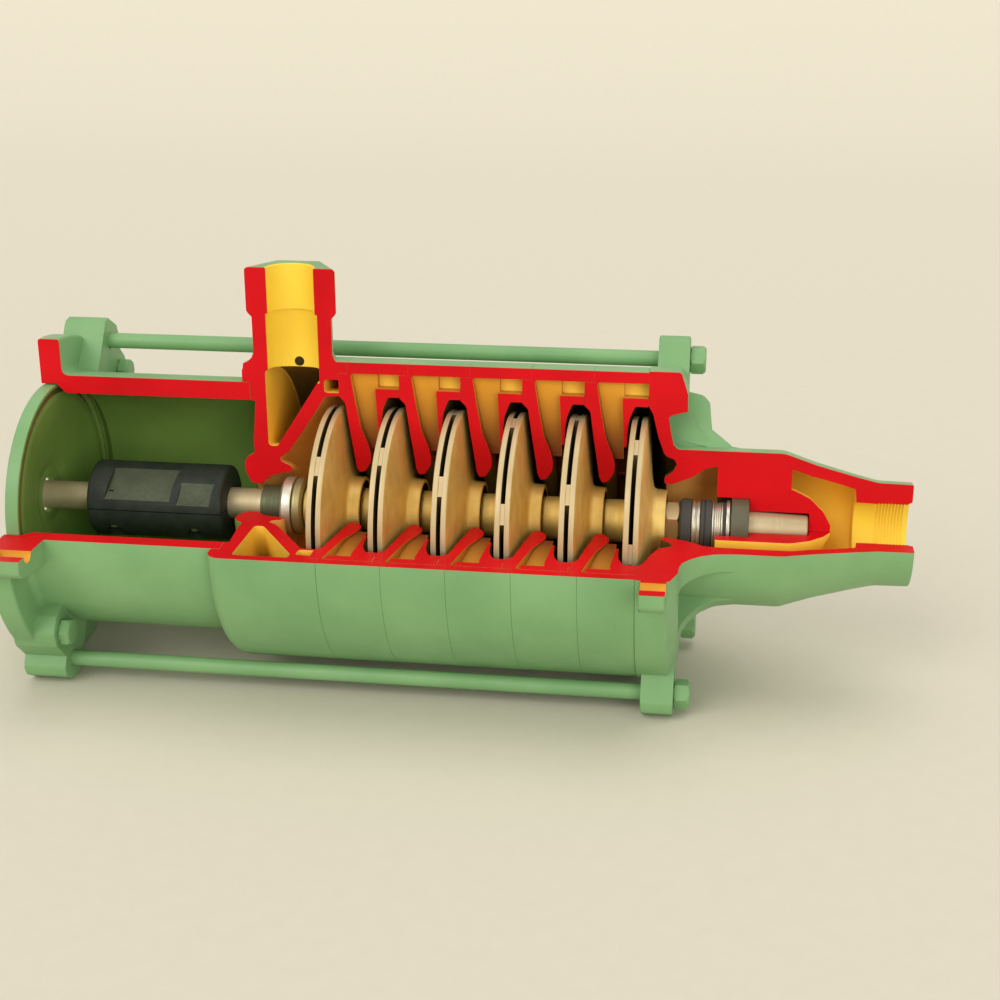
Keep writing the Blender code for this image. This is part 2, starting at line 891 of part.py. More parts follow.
def build_shaft_train(pump):
    """Make the shaft and everything on it but the impellers."""
    shaft = [
        (SHAFT_LEFT, 0.0),
        (SHAFT_LEFT, SHAFT_RADIUS - 1.0),
        (SHAFT_LEFT + 1.0, SHAFT_RADIUS),
        (SHAFT_RIGHT - 1.5, SHAFT_RADIUS),
        (SHAFT_RIGHT, SHAFT_RADIUS - 1.5),
        (SHAFT_RIGHT, 0.0),
    ]
    pump.turn(turned("pump_shaft", shaft, 24), bright_steel())
    stub = [
        (LEFT_END, 0.0),
        (LEFT_END, MOTOR_SHAFT_RADIUS),
        (-150.0, MOTOR_SHAFT_RADIUS),
        (-149.0, MOTOR_SHAFT_RADIUS - 1.0),
        (-149.0, 0.0),
    ]
    pump.turn(turned("motor_shaft", stub, 24), bright_steel())
    bore = SHAFT_RADIUS + GAP
    pump.turn(ring("seal_sleeve", -73.0, -57.3, bore, 15.0), dark_iron())
    pump.turn(ring("seal_face_ring", -57.0, -48.3, bore, 19.5), bright_steel())
    pump.turn(ring("seal_seat_ring", -48.0, -37.0, bore, 18.0), bright_steel())
    nut = prism("lock_nut", ngon(6, 16.5, (0.0, 0.0), 30.0), 237.5, 247.0)
    cutter = rod("nut_bore", bore, 230.0, 250.0, (0.0, 0.0), 24)
    combine(nut, cutter, "DIFFERENCE")
    tidy_faces(nut)
    pump.turn(nut, bronze())
    pump.turn(ring("spacer_ring", 247.3, 256.0, bore, 19.0), black_rubber())
    pump.turn(ring("retaining_ring", 256.3, 262.7, bore, 17.0), bright_steel())
    pump.turn(ring("seal_bellows", 263.0, 271.0, bore, 19.0), black_rubber())
    pump.turn(ring("seal_spring_collar", 271.3, 279.2, bore, 18.0), bright_steel())
    pump.turn(ring("seal_ring", 279.5, 284.2, bore, 20.0), black_rubber())
    pump.fix(ring("bearing_bush", 285.1, 298.0, SHAFT_RADIUS + 0.35, 21.5), dark_iron())


def half_shell(name, side):
    """Return one half of the clamp coupling, above (+1) or below (-1) its split.

    Args:
        name: The object's name.
        side: 1 for the upper half, -1 for the lower.

    Returns:
        The object.
    """
    profile = [
        (COUPLING_LEFT, 0.0),
        (COUPLING_LEFT, COUPLING_RADIUS - 2.0),
        (COUPLING_LEFT + 2.0, COUPLING_RADIUS),
        (COUPLING_RIGHT - 2.0, COUPLING_RADIUS),
        (COUPLING_RIGHT, COUPLING_RADIUS - 2.0),
        (COUPLING_RIGHT, 0.0),
    ]
    half = turned(name, profile, 24)
    reach = 60.0
    split = 0.4
    low, high = (-reach, split) if side > 0 else (-split, reach)
    outline = [(-reach, low), (reach, low), (reach, high), (-reach, high)]
    combine(half, prism("other_half", outline, -300.0, 0.0), "DIFFERENCE")
    combine(half, rod("bore", SHAFT_RADIUS + GAP, -149.0, 0.0, (0.0, 0.0), 24), "DIFFERENCE")
    combine(half, rod("bore", MOTOR_SHAFT_RADIUS + GAP, -300.0, -148.5, (0.0, 0.0), 24), "DIFFERENCE")
    for x in SCREW_STATIONS:
        for y in (-SCREW_OFFSET, SCREW_OFFSET):
            top = 14.0 if side > 0 else 40.0
            shank = stack("shank", [(-40.0, 3.0 + GAP), (top, 3.0 + GAP)], (x, y), 12)
            combine(half, shank, "DIFFERENCE")
            if side < 0:
                pocket = stack("pocket", [(-40.0, 6.0), (-9.0, 6.0)], (x, y), 16)
                combine(half, pocket, "DIFFERENCE")
    tidy_faces(half)
    return half


def build_coupling(pump):
    """Make the clamp coupling's halves and its four screws."""
    pump.turn(half_shell("coupling_upper", 1), dark_iron())
    pump.turn(half_shell("coupling_lower", -1), dark_iron())
    number = 0
    for x in SCREW_STATIONS:
        for y in (-SCREW_OFFSET, SCREW_OFFSET):
            number += 1
            screw = stack(f"coupling_screw_{number}", [(-16.0, 5.0), (-9.0 - GAP, 5.0)], (x, y), 12)
            combine(screw, stack("shank", [(-12.0, 3.0), (13.0, 3.0)], (x, y), 12), "UNION")
            tidy_faces(screw)
            pump.turn(screw, bright_steel())


def main():
    """Build the whole pump."""
    clear_scene()
    pump = Assembly()
    build_lantern_flange(pump)
    build_lantern_tube(pump)
    build_end_shield(pump)
    build_discharge_casing(pump)
    build_stage_rings(pump)
    build_diffusers(pump)
    build_suction_casing(pump)
    build_bolts(pump)
    build_impellers(pump)
    build_shaft_train(pump)
    build_coupling(pump)
    bpy.context.view_layer.update()


if __name__ == "__main__":
    main()
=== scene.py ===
"""The looks of a horizontal multistage pump whose front upper quarter is cut away.

Shapes are made in millimetres about the shaft axis: x runs along the shaft towards the suction
port, z points up, and the quarter that is missing faces -y and +z. Each finished piece is moved
into the row's frame in its mesh. A casing piece is turned whole, gets its lugs and holes, and
is then cut, so that its cut faces and its painted passages carry finishes of their own.
"""

from __future__ import annotations

import logging
import math
import sys
from collections.abc import Callable, Iterable, Sequence
from dataclasses import dataclass, field
from enum import Enum, IntEnum

import bmesh
import bpy
from mathutils import Matrix, Vector


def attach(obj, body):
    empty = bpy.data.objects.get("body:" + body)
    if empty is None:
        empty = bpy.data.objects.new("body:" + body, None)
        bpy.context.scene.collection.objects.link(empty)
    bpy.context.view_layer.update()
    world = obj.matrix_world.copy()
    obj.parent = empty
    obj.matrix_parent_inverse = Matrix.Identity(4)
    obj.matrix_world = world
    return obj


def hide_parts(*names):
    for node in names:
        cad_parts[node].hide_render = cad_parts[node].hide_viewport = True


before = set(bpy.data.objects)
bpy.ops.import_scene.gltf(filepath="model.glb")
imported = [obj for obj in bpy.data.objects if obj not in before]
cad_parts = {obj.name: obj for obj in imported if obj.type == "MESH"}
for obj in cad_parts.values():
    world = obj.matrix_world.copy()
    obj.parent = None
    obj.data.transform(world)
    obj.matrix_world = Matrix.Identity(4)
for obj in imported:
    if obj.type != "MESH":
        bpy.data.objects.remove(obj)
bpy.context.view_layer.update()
LOG = logging.getLogger("pump")

MM = 0.001
SHAFT_HEIGHT = 125.5
BOX_MIDDLE = 81.5
AXIS_IN_ROW = Vector((-BOX_MIDDLE * MM, 0.0, SHAFT_HEIGHT * MM))
PUMP_TO_ROW = Matrix.Translation(AXIS_IN_ROW) @ Matrix.Scale(MM, 4)
STAGES = 5
STAGE_PITCH = 46.0
RINGS_END = 221.9
CASING_RADIUS = 115.0
RING_SEAT = 106.5
SPIGOT_RADIUS = 106.4
TIE_CIRCLE = 126.1
MOTOR_CIRCLE = 113.0
SHAFT_BORE = 12.3
SEAM = 0.04
TURN_STEPS = 144
FINE_STEPS = 96
ROD_STEPS = 48
SKEW = 1.3
ROD_SKEW = 2.1
SHARP_ANGLE = 34.0
STRAIGHT_ANGLE = 176.0
ARC_STEP = 22.0
ARC_SHARE = 0.46
SMALLEST = 1e-6

Point2 = tuple[float, float]
Point3 = tuple[float, float, float]
Colour = tuple[float, float, float]


class Body(Enum):
    """The bodies that pieces ride on."""

    CASING = "casing"
    ROTOR = "rotor"


class Slot(Enum):
    """The record's material slots."""

    PAINT = "green_paint"
    BRONZE = "bronze"
    BRASS = "brass_nut"
    STEEL = "bright_steel"
    RUBBER = "black_rubber"
    IRON = "dark_iron"


class Zone(IntEnum):
    """The painted zones of a casing piece, in the order of its material slots."""

    OUTSIDE = 0
    CUT = 1
    PASSAGE = 2
    NOZZLE = 3
    CHAMBER = 4
    INSIDE = 5
    HUB = 6
    BAND = 7


def from_screen(red: int, green: int, blue: int) -> Colour:
    """Turn a colour as a screen shows it into linear light.

    Args:
        red: Red from 0 to 255.
        green: Green from 0 to 255.
        blue: Blue from 0 to 255.

    Returns:
        The linear colour.
    """
    return tuple(
        part / 12.92 if part <= 0.04045 else ((part + 0.055) / 1.055) ** 2.4
        for part in (red / 255.0, green / 255.0, blue / 255.0)
    )


class Graph:
    """A small helper that adds linked nodes to a node tree."""

    def __init__(self, tree: bpy.types.NodeTree) -> None:
        """Keep the tree that nodes are added to."""
        self.tree = tree

    def add(
        self,
        kind: str,
        inputs: dict[str | int, object] | None = None,
        **settings: object,
    ) -> bpy.types.Node:
        """Add a node, set its properties, and fill or link its inputs.

        Args:
            kind: The node's type.
            inputs: Values or sockets by input name or number.
            **settings: The node's own properties.

        Returns:
            The node.
        """
        node = self.tree.nodes.new(kind)
        for name, value in settings.items():
            setattr(node, name, value)
        self.fill(node, inputs or {})
        return node

    def fill(self, node: bpy.types.Node, inputs: dict[str | int, object]) -> None:
        """Fill or link some of a node's inputs.

        Args:
            node: The node.
            inputs: Values or sockets by input name or number.
        """
        for key, value in inputs.items():
            if isinstance(value, bpy.types.NodeSocket):
                self.tree.links.new(value, node.inputs[key])
            else:
                node.inputs[key].default_value = value

    def math(self, operation: str, first: object, second: object = 0.0) -> bpy.types.NodeSocket:
        """Add one Math node on two values or sockets, and return its result."""
        node = self.add("ShaderNodeMath", {0: first, 1: second}, operation=operation)
        return node.outputs[0]

    def noise(
        self, vector: bpy.types.NodeSocket, scale: float, detail: float = 3.0
    ) -> bpy.types.NodeSocket:
        """Add a noise texture and return its grey value."""
        node = self.add("ShaderNodeTexNoise", {"Vector": vector, "Scale": scale, "Detail": detail})
        return node.outputs[0]

    def shaft_radius(self, place: bpy.types.NodeSocket) -> bpy.types.NodeSocket:
        """Return the distance of a place from the shaft's axis.

        Args:
            place: The point on the surface.

        Returns:
            The distance's socket.
        """
        parts = self.add("ShaderNodeSeparateXYZ", {0: place})
        height = self.math("SUBTRACT", parts.outputs["Z"], AXIS_IN_ROW.z)
        depth = self.math("MULTIPLY", parts.outputs["Y"], parts.outputs["Y"])
        return self.math("SQRT", self.math("ADD", depth, self.math("MULTIPLY", height, height)))

    def remap(
        self, value: bpy.types.NodeSocket, low: float, high: float, start: float, end: float
    ) -> bpy.types.NodeSocket:
        """Map a value so that low becomes start and high becomes end, and clamp it."""
        numbers = {0: value, 1: low, 2: high, 3: start, 4: end}
        return self.add("ShaderNodeMapRange", numbers).outputs[0]

    def mix(self, share: object, first: object, second: object) -> bpy.types.NodeSocket:
        """Mix two colours.

        Args:
            share: How much of the second shows, as a number or socket.
            first: The first colour or socket.
            second: The second colour or socket.

        Returns:
            The mixed colour's socket.
        """
        node = self.add("ShaderNodeMix", data_type="RGBA")
        colours = [socket for socket in node.inputs if socket.type == "RGBA"]
        for socket, value in ((node.inputs[0], share), (colours[0], first), (colours[1], second)):
            if isinstance(value, bpy.types.NodeSocket):
                self.tree.links.new(value, socket)
            elif isinstance(value, tuple):
                socket.default_value = (*value, 1.0)
            else:
                socket.default_value = value
        return next(socket for socket in node.outputs if socket.type == "RGBA")


@dataclass(frozen=True)
class Finish:
    """What every finish of the pump shares.

    Attributes:
        name: The material's name.
        colour: The main linear colour.
        shade: The linear colour that clouds it.
        roughness: The lowest and highest roughness.
        metallic: 1 for bare metal, 0 for paint.
        specular: How much light the surface mirrors, 0.5 being usual.
    """

    name: str
    colour: Colour
    shade: Colour
    roughness: Point2
    metallic: float = 0.0
    specular: float = 0.5

    def make(self) -> bpy.types.Material:
        """Return the finish's material, made on its first use.

        Returns:
            The material.
        """
        found = bpy.data.materials.get(self.name)
        if found:
            return found
        made = bpy.data.materials.new(self.name)
        made.use_nodes = True
        graph = Graph(made.node_tree)
        shader = made.node_tree.nodes["Principled BSDF"]
        graph.fill(shader, {"Metallic": self.metallic, "Specular IOR Level": self.specular})
        place = graph.add("ShaderNodeTexCoord").outputs["Object"]
        self.dress(graph, shader, place)
        made.diffuse_color = (*self.colour, 1.0)
        return made

    def dress(
        self, graph: Graph, shader: bpy.types.Node, place: bpy.types.NodeSocket
    ) -> None:
        """Wire the finish's own nodes between the Object coordinates and the shader."""
        raise NotImplementedError


@dataclass(frozen=True)
class Paint(Finish):
    """Brushed or sprayed machine paint over cast iron.

    Attributes:
        edge: The paler colour of the edges: worn paint, and a painted highlight where the edges catch
            the light.
        edge_width: How far the pale edge reaches from an edge, in metres.
        peel: How strongly the paint's skin waves.
        speckle: How much fine dirt shows, from 0 to 1.
        painted_shade: The darker colour painted towards the shaft as shade in the deep passages, or
            None.
        painted_shade_span: The radii between which the painted shade comes in, in metres.
    """

    edge: Colour = (0.8, 0.7, 0.6)
    edge_width: float = 0.0007
    peel: float = 0.25
    speckle: float = 0.12
    painted_shade: Colour | None = None
    painted_shade_span: Point2 = (0.05, 0.1)

    def dress(
        self, graph: Graph, shader: bpy.types.Node, place: bpy.types.NodeSocket
    ) -> None:
        """Wire clouds, dirt specks, pale edges, an uneven gloss and the paint's skin.

        Args:
            graph: The material's node graph.
            shader: Its shader node.
            place: The point on the surface.
        """
        clouds = graph.noise(place, 14.0, 4.0)
        cloud_share = graph.remap(clouds, 0.35, 0.7, 0.0, 1.0)
        colour = graph.mix(cloud_share, self.colour, self.shade)
        # Painted shade: the colour turns darker towards the shaft, where the passages lie deep in
        # shadow.
        if self.painted_shade:
            depth = graph.remap(graph.shaft_radius(place), *self.painted_shade_span, 1.0, 0.0)
            colour = graph.mix(depth, colour, self.painted_shade)
        specks = graph.remap(graph.noise(place, 420.0, 2.0), 0.62, 0.78, 0.0, self.speckle)
        dark = tuple(part * 0.45 for part in self.shade)
        colour = graph.mix(specks, colour, dark)
        # Pale edges: partly worn paint, partly a painted highlight along every edge.
        rounded = graph.add("ShaderNodeBevel", {"Radius": self.edge_width}, samples=4)
        plain = graph.add("ShaderNodeNewGeometry").outputs["Normal"]
        along = graph.add(
            "ShaderNodeVectorMath", {0: rounded.outputs[0], 1: plain}, operation="DOT_PRODUCT"
        )
        wear_and_highlight = graph.remap(along.outputs["Value"], 0.995, 0.86, 0.0, 0.75)
        patchy = graph.remap(graph.noise(place, 60.0), 0.3, 0.6, 0.35, 1.0)
        colour = graph.mix(graph.math("MULTIPLY", wear_and_highlight, patchy), colour, self.edge)
        gloss = graph.remap(graph.noise(place, 45.0), 0.3, 0.7, *self.roughness)
        skin = graph.noise(place, 260.0, 3.0)
        bump = graph.add(
            "ShaderNodeBump",
            {"Strength": self.peel, "Distance": 0.0006, "Height": skin, "Normal": rounded.outputs[0]},
        )
        graph.fill(shader, {"Base Color": colour, "Roughness": gloss, "Normal": bump.outputs[0]})


@dataclass(frozen=True)
class Turned(Finish):
    """Metal from the lathe, with fine rings about the shaft.

    Attributes:
        line_scale: How many rings fit in a metre.
        line_depth: How strongly the rings show in relief.
        stain: How much the clouds darken the metal.
    """

    line_scale: float = 900.0
    line_depth: float = 0.2
    stain: float = 0.5

    def dress(
        self, graph: Graph, shader: bpy.types.Node, place: bpy.types.NodeSocket
    ) -> None:
        """Wire the rings, the stains and the uneven gloss.

        Args:
            graph: The material's node graph.
            shader: Its shader node.
            place: The point on the surface.
        """
        along = graph.add("ShaderNodeSeparateXYZ", {0: place}).outputs["X"]
        radius = graph.shaft_radius(place)
        vector = graph.add("ShaderNodeCombineXYZ", {"X": along, "Y": radius})
        rings = graph.noise(vector.outputs[0], self.line_scale, 2.0)
        clouds = graph.remap(graph.noise(place, 55.0, 4.0), 0.35, 0.7, 0.0, self.stain)
        colour = graph.mix(clouds, self.colour, self.shade)
        fine = graph.remap(rings, 0.3, 0.7, 0.0, 0.16)
        colour = graph.mix(fine, colour, self.shade)
        gloss = graph.remap(rings, 0.3, 0.7, *self.roughness)
        relief = {"Strength": self.line_depth, "Distance": 0.0002, "Height": rings}
        bump = graph.add("ShaderNodeBump", relief)
        graph.fill(shader, {"Base Color": colour, "Roughness": gloss, "Normal": bump.outputs[0]})


@dataclass(frozen=True)
class Grained(Finish):
    """A cast or moulded surface with a grain.

    Attributes:
        grain_scale: How many grains fit in a metre.
        grain_depth: How strongly the grain shows in relief.
    """

    grain_scale: float = 700.0
    grain_depth: float = 0.3

    def dress(
        self, graph: Graph, shader: bpy.types.Node, place: bpy.types.NodeSocket
    ) -> None:
        """Wire the clouds, the uneven gloss and the grain.

        Args:
            graph: The material's node graph.
            shader: Its shader node.
            place: The point on the surface.
        """
        clouds = graph.remap(graph.noise(place, 70.0, 5.0), 0.3, 0.7, 0.0, 1.0)
        colour = graph.mix(clouds, self.colour, self.shade)
        grain = graph.noise(place, self.grain_scale, 3.0)
        gloss = graph.remap(grain, 0.3, 0.7, *self.roughness)
        relief = {"Strength": self.grain_depth, "Distance": 0.0004, "Height": grain}
        bump = graph.add("ShaderNodeBump", relief)
        graph.fill(shader, {"Base Color": colour, "Roughness": gloss, "Normal": bump.outputs[0]})


GREEN_OUTSIDE = Paint(
    "green_machine_paint",
    from_screen(129, 171, 116),
    from_screen(115, 158, 104),
    (0.36, 0.52),
    specular=0.35,
    edge=from_screen(160, 192, 144),
)
RED_CUT = Paint(
    "red_cut_paint",
    from_screen(214, 14, 24),
    from_screen(196, 9, 19),
    (0.4, 0.55),
    specular=0.12,
    edge=from_screen(238, 78, 66),
    edge_width=0.0005,
    peel=0.35,
    speckle=0.05,
)
YELLOW_PASSAGE = Paint(
    "orange_yellow_paint",
    from_screen(224, 160, 48),
    from_screen(206, 140, 36),
    (0.42, 0.6),
    specular=0.2,
    edge=from_screen(252, 158, 74),
    edge_width=0.0009,
    # Painted shade towards the shaft, brown near it.
    painted_shade=from_screen(120, 60, 24),
)
YELLOW_NOZZLE = Paint(
    "yellow_bore_paint",
    from_screen(248, 216, 74),
    from_screen(242, 204, 62),
    (0.42, 0.58),
    specular=0.2,
    edge=from_screen(252, 190, 92),
    speckle=0.05,
)
# Painted light: a brighter copy of the yellow paint for the faces that catch the light, such as the
# crossover blocks' flanks, the collector and the suction passage.
YELLOW_LIT = Paint(
    "lit_yellow_paint",
    from_screen(255, 208, 76),
    from_screen(246, 196, 64),
    (0.42, 0.6),
    specular=0.2,
    edge=from_screen(255, 206, 120),
    edge_width=0.0012,
)
# Painted shade: a dark paint for the chambers round the impellers and other hollows, where shade falls.
CHAMBER_SHADE = Paint(
    "chamber_shade_paint",
    from_screen(112, 96, 50),
    from_screen(88, 76, 38),
    (0.45, 0.65),
    specular=0.2,
    edge=from_screen(130, 108, 64),
)
# Painted shade: a darker, more olive copy of the green paint for the lantern's inside and what shows
# within it.
GREEN_INSIDE = Paint(
    "shaded_green_paint",
    from_screen(126, 158, 76),
    from_screen(112, 144, 66),
    (0.4, 0.6),
    specular=0.15,
    edge=from_screen(130, 162, 84),
)
# Painted light and shade: a browner copy of the passage paint for the recesses by the hubs, browner as
# painted shade and lighter as painted light against their shadow.
HUB_LIT_AND_SHADED = Paint(
    "hub_lit_and_shaded_paint",
    from_screen(244, 180, 96),
    from_screen(220, 156, 78),
    (0.42, 0.6),
    specular=0.2,
    edge=from_screen(230, 160, 104),
)
CASING_FINISHES: dict[Zone, Paint] = {
    Zone.OUTSIDE: GREEN_OUTSIDE,
    Zone.CUT: RED_CUT,
    Zone.PASSAGE: YELLOW_PASSAGE,
    Zone.NOZZLE: YELLOW_NOZZLE,
    Zone.CHAMBER: CHAMBER_SHADE,
    Zone.INSIDE: GREEN_INSIDE,
    Zone.HUB: HUB_LIT_AND_SHADED,
    Zone.BAND: YELLOW_LIT,
}
BRONZE = Turned(
    "turned_bronze",
    from_screen(242, 215, 132),
    from_screen(212, 178, 90),
    (0.5, 0.64),
    0.6,
    line_scale=420.0,
    line_depth=0.12,
    stain=0.7,
)
RIM_BRONZE = Turned(
    "pale_rim_bronze",
    from_screen(204, 184, 142),
    from_screen(184, 160, 112),
    (0.5, 0.64),
    0.6,
    line_scale=420.0,
    line_depth=0.12,
    stain=0.4,
)
# Painted shade: a dark colour for the impellers' inner faces and vanes, where shade falls between the
# shrouds.
IMPELLER_SHADE = Grained(
    "impeller_shade", from_screen(70, 58, 18), from_screen(50, 42, 14), (0.6, 0.8), specular=0.2
)
SHAFT_STEEL = Turned(
    "matt_shaft_steel",
    from_screen(200, 186, 148),
    from_screen(168, 152, 112),
    (0.46, 0.6),
    0.55,
    line_scale=420.0,
    line_depth=0.08,
)
STEEL = Turned(
    "turned_steel",
    from_screen(224, 221, 204),
    from_screen(176, 172, 152),
    (0.34, 0.48),
    0.85,
    line_scale=420.0,
    line_depth=0.08,
)
GREY_STEEL = Turned(
    "dull_steel", from_screen(98, 102, 74), from_screen(72, 76, 54), (0.45, 0.6), 0.6, line_depth=0.1
)
WARM_STEEL = Turned(
    "warm_steel", from_screen(178, 168, 120), from_screen(140, 130, 86), (0.4, 0.55), 0.7, line_depth=0.1
)
BRASS = Turned(
    "brass_nut", from_screen(190, 184, 84), from_screen(146, 140, 54), (0.38, 0.52), 0.3, line_depth=0.1
)
RUBBER = Grained(
    "black_rubber", from_screen(36, 34, 20), from_screen(24, 24, 14), (0.55, 0.75), specular=0.25
)
IRON = Grained(
    "milled_iron",
    from_screen(70, 77, 55),
    from_screen(58, 65, 45),
    (0.5, 0.65),
    0.3,
    grain_scale=480.0,
    grain_depth=0.15,
)
BUSH_GREY = Grained(
    "grey_bush",
    from_screen(90, 90, 66),
    from_screen(78, 78, 56),
    (0.45, 0.6),
    grain_scale=480.0,
    grain_depth=0.2,
)
DEEP_IRON = Grained(
    "deep_black_iron",
    from_screen(50, 56, 46),
    from_screen(34, 40, 33),
    (0.5, 0.65),
    0.2,
    specular=0.3,
    grain_scale=480.0,
    grain_depth=0.2,
)
FLOOR = Grained("pale_floor", from_screen(215, 208, 190), from_screen(213, 206, 188), (0.85, 0.95))


@dataclass(frozen=True)
class Knot:
    """A corner of a turned outline.

    Attributes:
        x: Its place along the shaft.
        r: Its radius.
        zone: The zone of the face that leaves it.
        soft: The radius that rounds it.
    """

    x: float
    r: float
    zone: Zone = Zone.OUTSIDE
    soft: float = 0.0


def shifted(knots: Iterable[Knot], start: float) -> list[Knot]:
    """Return a turned outline's corners, moved along the shaft by a distance."""
    return [Knot(knot.x + start, knot.r, knot.zone, knot.soft) for knot in knots]


def rounded_corner(before: Vector, corner: Vector, after: Vector, soft: float) -> list[Vector]:
    """Return the points that round one corner of an outline.

    Args:
        before: The corner before it.
        corner: The corner itself.
        after: The corner after it.
        soft: The wanted radius, lessened where the sides are short.

    Returns:
        The corner itself, or the points of its arc.
    """
    inward = before - corner
    outward = after - corner
    if soft <= 0.0 or inward.length < SMALLEST or outward.length < SMALLEST:
        return [corner]
    turn = inward.angle(outward)
    if turn > math.radians(STRAIGHT_ANGLE):
        return [corner]
    reach = min(soft / math.tan(0.5 * turn), ARC_SHARE * inward.length, ARC_SHARE * outward.length)
    first = corner + inward.normalized() * reach
    last = corner + outward.normalized() * reach
    steps = max(2, round(math.degrees(math.pi - turn) / ARC_STEP))
    points = []
    for step in range(steps + 1):
        share = step / steps
        near = first.lerp(corner, share)
        far = corner.lerp(last, share)
        points.append(near.lerp(far, share))
    return points


def softened(knots: Sequence[Knot]) -> list[tuple[float, float, Zone]]:
    """Return an outline's points with its corners rounded, each with the zone that leaves it.

    Args:
        knots: The outline's corners.

    Returns:
        The points, each with its zone.
    """
    points: list[tuple[float, float, Zone]] = []
    count = len(knots)
    for index, knot in enumerate(knots):
        before, after = knots[index - 1], knots[(index + 1) % count]
        arc = rounded_corner(
            Vector((before.x, before.r)), Vector((knot.x, knot.r)), Vector((after.x, after.r)), knot.soft
        )
        for step, point in enumerate(arc):
            early = step < 0.5 * (len(arc) - 1)
            points.append((point.x, point.y, before.zone if early else knot.zone))
    return points


def rounded_outline(corners: Sequence[Point2], soft: float) -> list[Point2]:
    """Return a flat outline with every corner rounded by the same radius.

    Args:
        corners: The outline's corners.
        soft: The radius that rounds them.

    Returns:
        The rounded outline.
    """
    points: list[Point2] = []
    count = len(corners)
    for index, corner in enumerate(corners):
        arc = rounded_corner(
            Vector(corners[index - 1]), Vector(corner), Vector(corners[(index + 1) % count]), soft
        )
        points.extend((point.x, point.y) for point in arc)
    return points


def polar(radius: float, angle: float) -> Point2:
    """Return the (y, z) point at a radius and an angle in degrees from +y towards +z."""
    return (radius * math.cos(math.radians(angle)), radius * math.sin(math.radians(angle)))


def ngon(sides: int, radius: float, centre: Point2 = (0.0, 0.0), turn: float = 0.0) -> list[Point2]:
    """Return the corners of a regular polygon.

    Args:
        sides: How many sides it has.
        radius: Its corners' distance from its centre.
        centre: Its centre.
        turn: The angle of its first corner, in degrees.

    Returns:
        The corners.
    """
    corners = []
    for index in range(sides):
        angle = math.radians(turn + 360.0 * index / sides)
        corners.append((centre[0] + radius * math.cos(angle), centre[1] + radius * math.sin(angle)))
    return corners


def on_spoke(angle: float, reach: float, side: float) -> Point2:
    """Return the (y, z) point that lies at a reach and a distance beside the spoke at an angle."""
    along = Vector(polar(1.0, angle))
    across = Vector((-along.y, along.x))
    return tuple(along * reach + across * side)


def spoke_outline(angle: float, corners: Iterable[Point2]) -> list[Point2]:
    """Place (reach, side) corners along the spoke at an angle and return them as (y, z)."""
    return [on_spoke(angle, reach, side) for reach, side in corners]


def vane_outline(
    inner: float, outer: float, lead: float, sweep: float, half_angle: Point2, points: int = 12
) -> list[Point2]:
    """Return the (y, z) outline of a vane that curves as it goes out.

    Args:
        inner: The vane's inner radius.
        outer: Its outer radius.
        lead: The angle of its inner end, in degrees.
        sweep: How far it turns on its way out.
        half_angle: Half its thickness as (inner, outer) angles.
        points: How many steps each flank has.

    Returns:
        The outline.
    """
    flanks: tuple[list[Point2], list[Point2]] = ([], [])
    for index in range(points + 1):
        share = index / points
        radius = inner + (outer - inner) * share
        centre = lead + sweep * share
        half = half_angle[0] + (half_angle[1] - half_angle[0]) * share
        flanks[0].append(polar(radius, centre - half))
        flanks[1].append(polar(radius, centre + half))
    return flanks[0] + flanks[1][::-1]


def wrapped(
    builder: bmesh.types.BMesh, rings: Sequence[Sequence[Point3]]
) -> list[bmesh.types.BMFace]:
    """Wrap rings of points, one after the other, in a closed skin.

    Args:
        builder: The bmesh that takes the skin.
        rings: The rings, all with the same number of points.

    Returns:
        The faces that close its two ends.
    """
    levels = [[builder.verts.new(point) for point in ring] for ring in rings]
    for near, far in zip(levels, levels[1:]):
        for index, corner in enumerate(near):
            after = (index + 1) % len(near)
            builder.faces.new((corner, near[after], far[after], far[index]))
    return [builder.faces.new(levels[0]), builder.faces.new(levels[-1])]


def soften_rims(
    builder: bmesh.types.BMesh, caps: Sequence[bmesh.types.BMFace], soft: float, segments: int
) -> None:
    """Round the edges of a body's two ends.

    Args:
        builder: The body's bmesh.
        caps: The faces at its ends.
        soft: The radius that rounds their edges.
        segments: How many flats each round has.
    """
    rim = list({edge for cap in caps for edge in cap.edges})
    bmesh.ops.bevel(
        builder, geom=rim, offset=soft, segments=segments, profile=0.5, affect="EDGES"
    )


def linked(name: str, data: bpy.types.ID) -> bpy.types.Object:
    """Make an object of a mesh, a light or a camera, and put it in the scene.

    Args:
        name: The object's name.
        data: What it shows.

    Returns:
        The object.
    """
    item = bpy.data.objects.new(name, data)
    bpy.context.scene.collection.objects.link(item)
    return item


def add_zone_paints(mesh: bpy.types.Mesh) -> None:
    """Add the paints of all zones to a mesh, in the zones' order."""
    for finish in CASING_FINISHES.values():
        mesh.materials.append(finish.make())


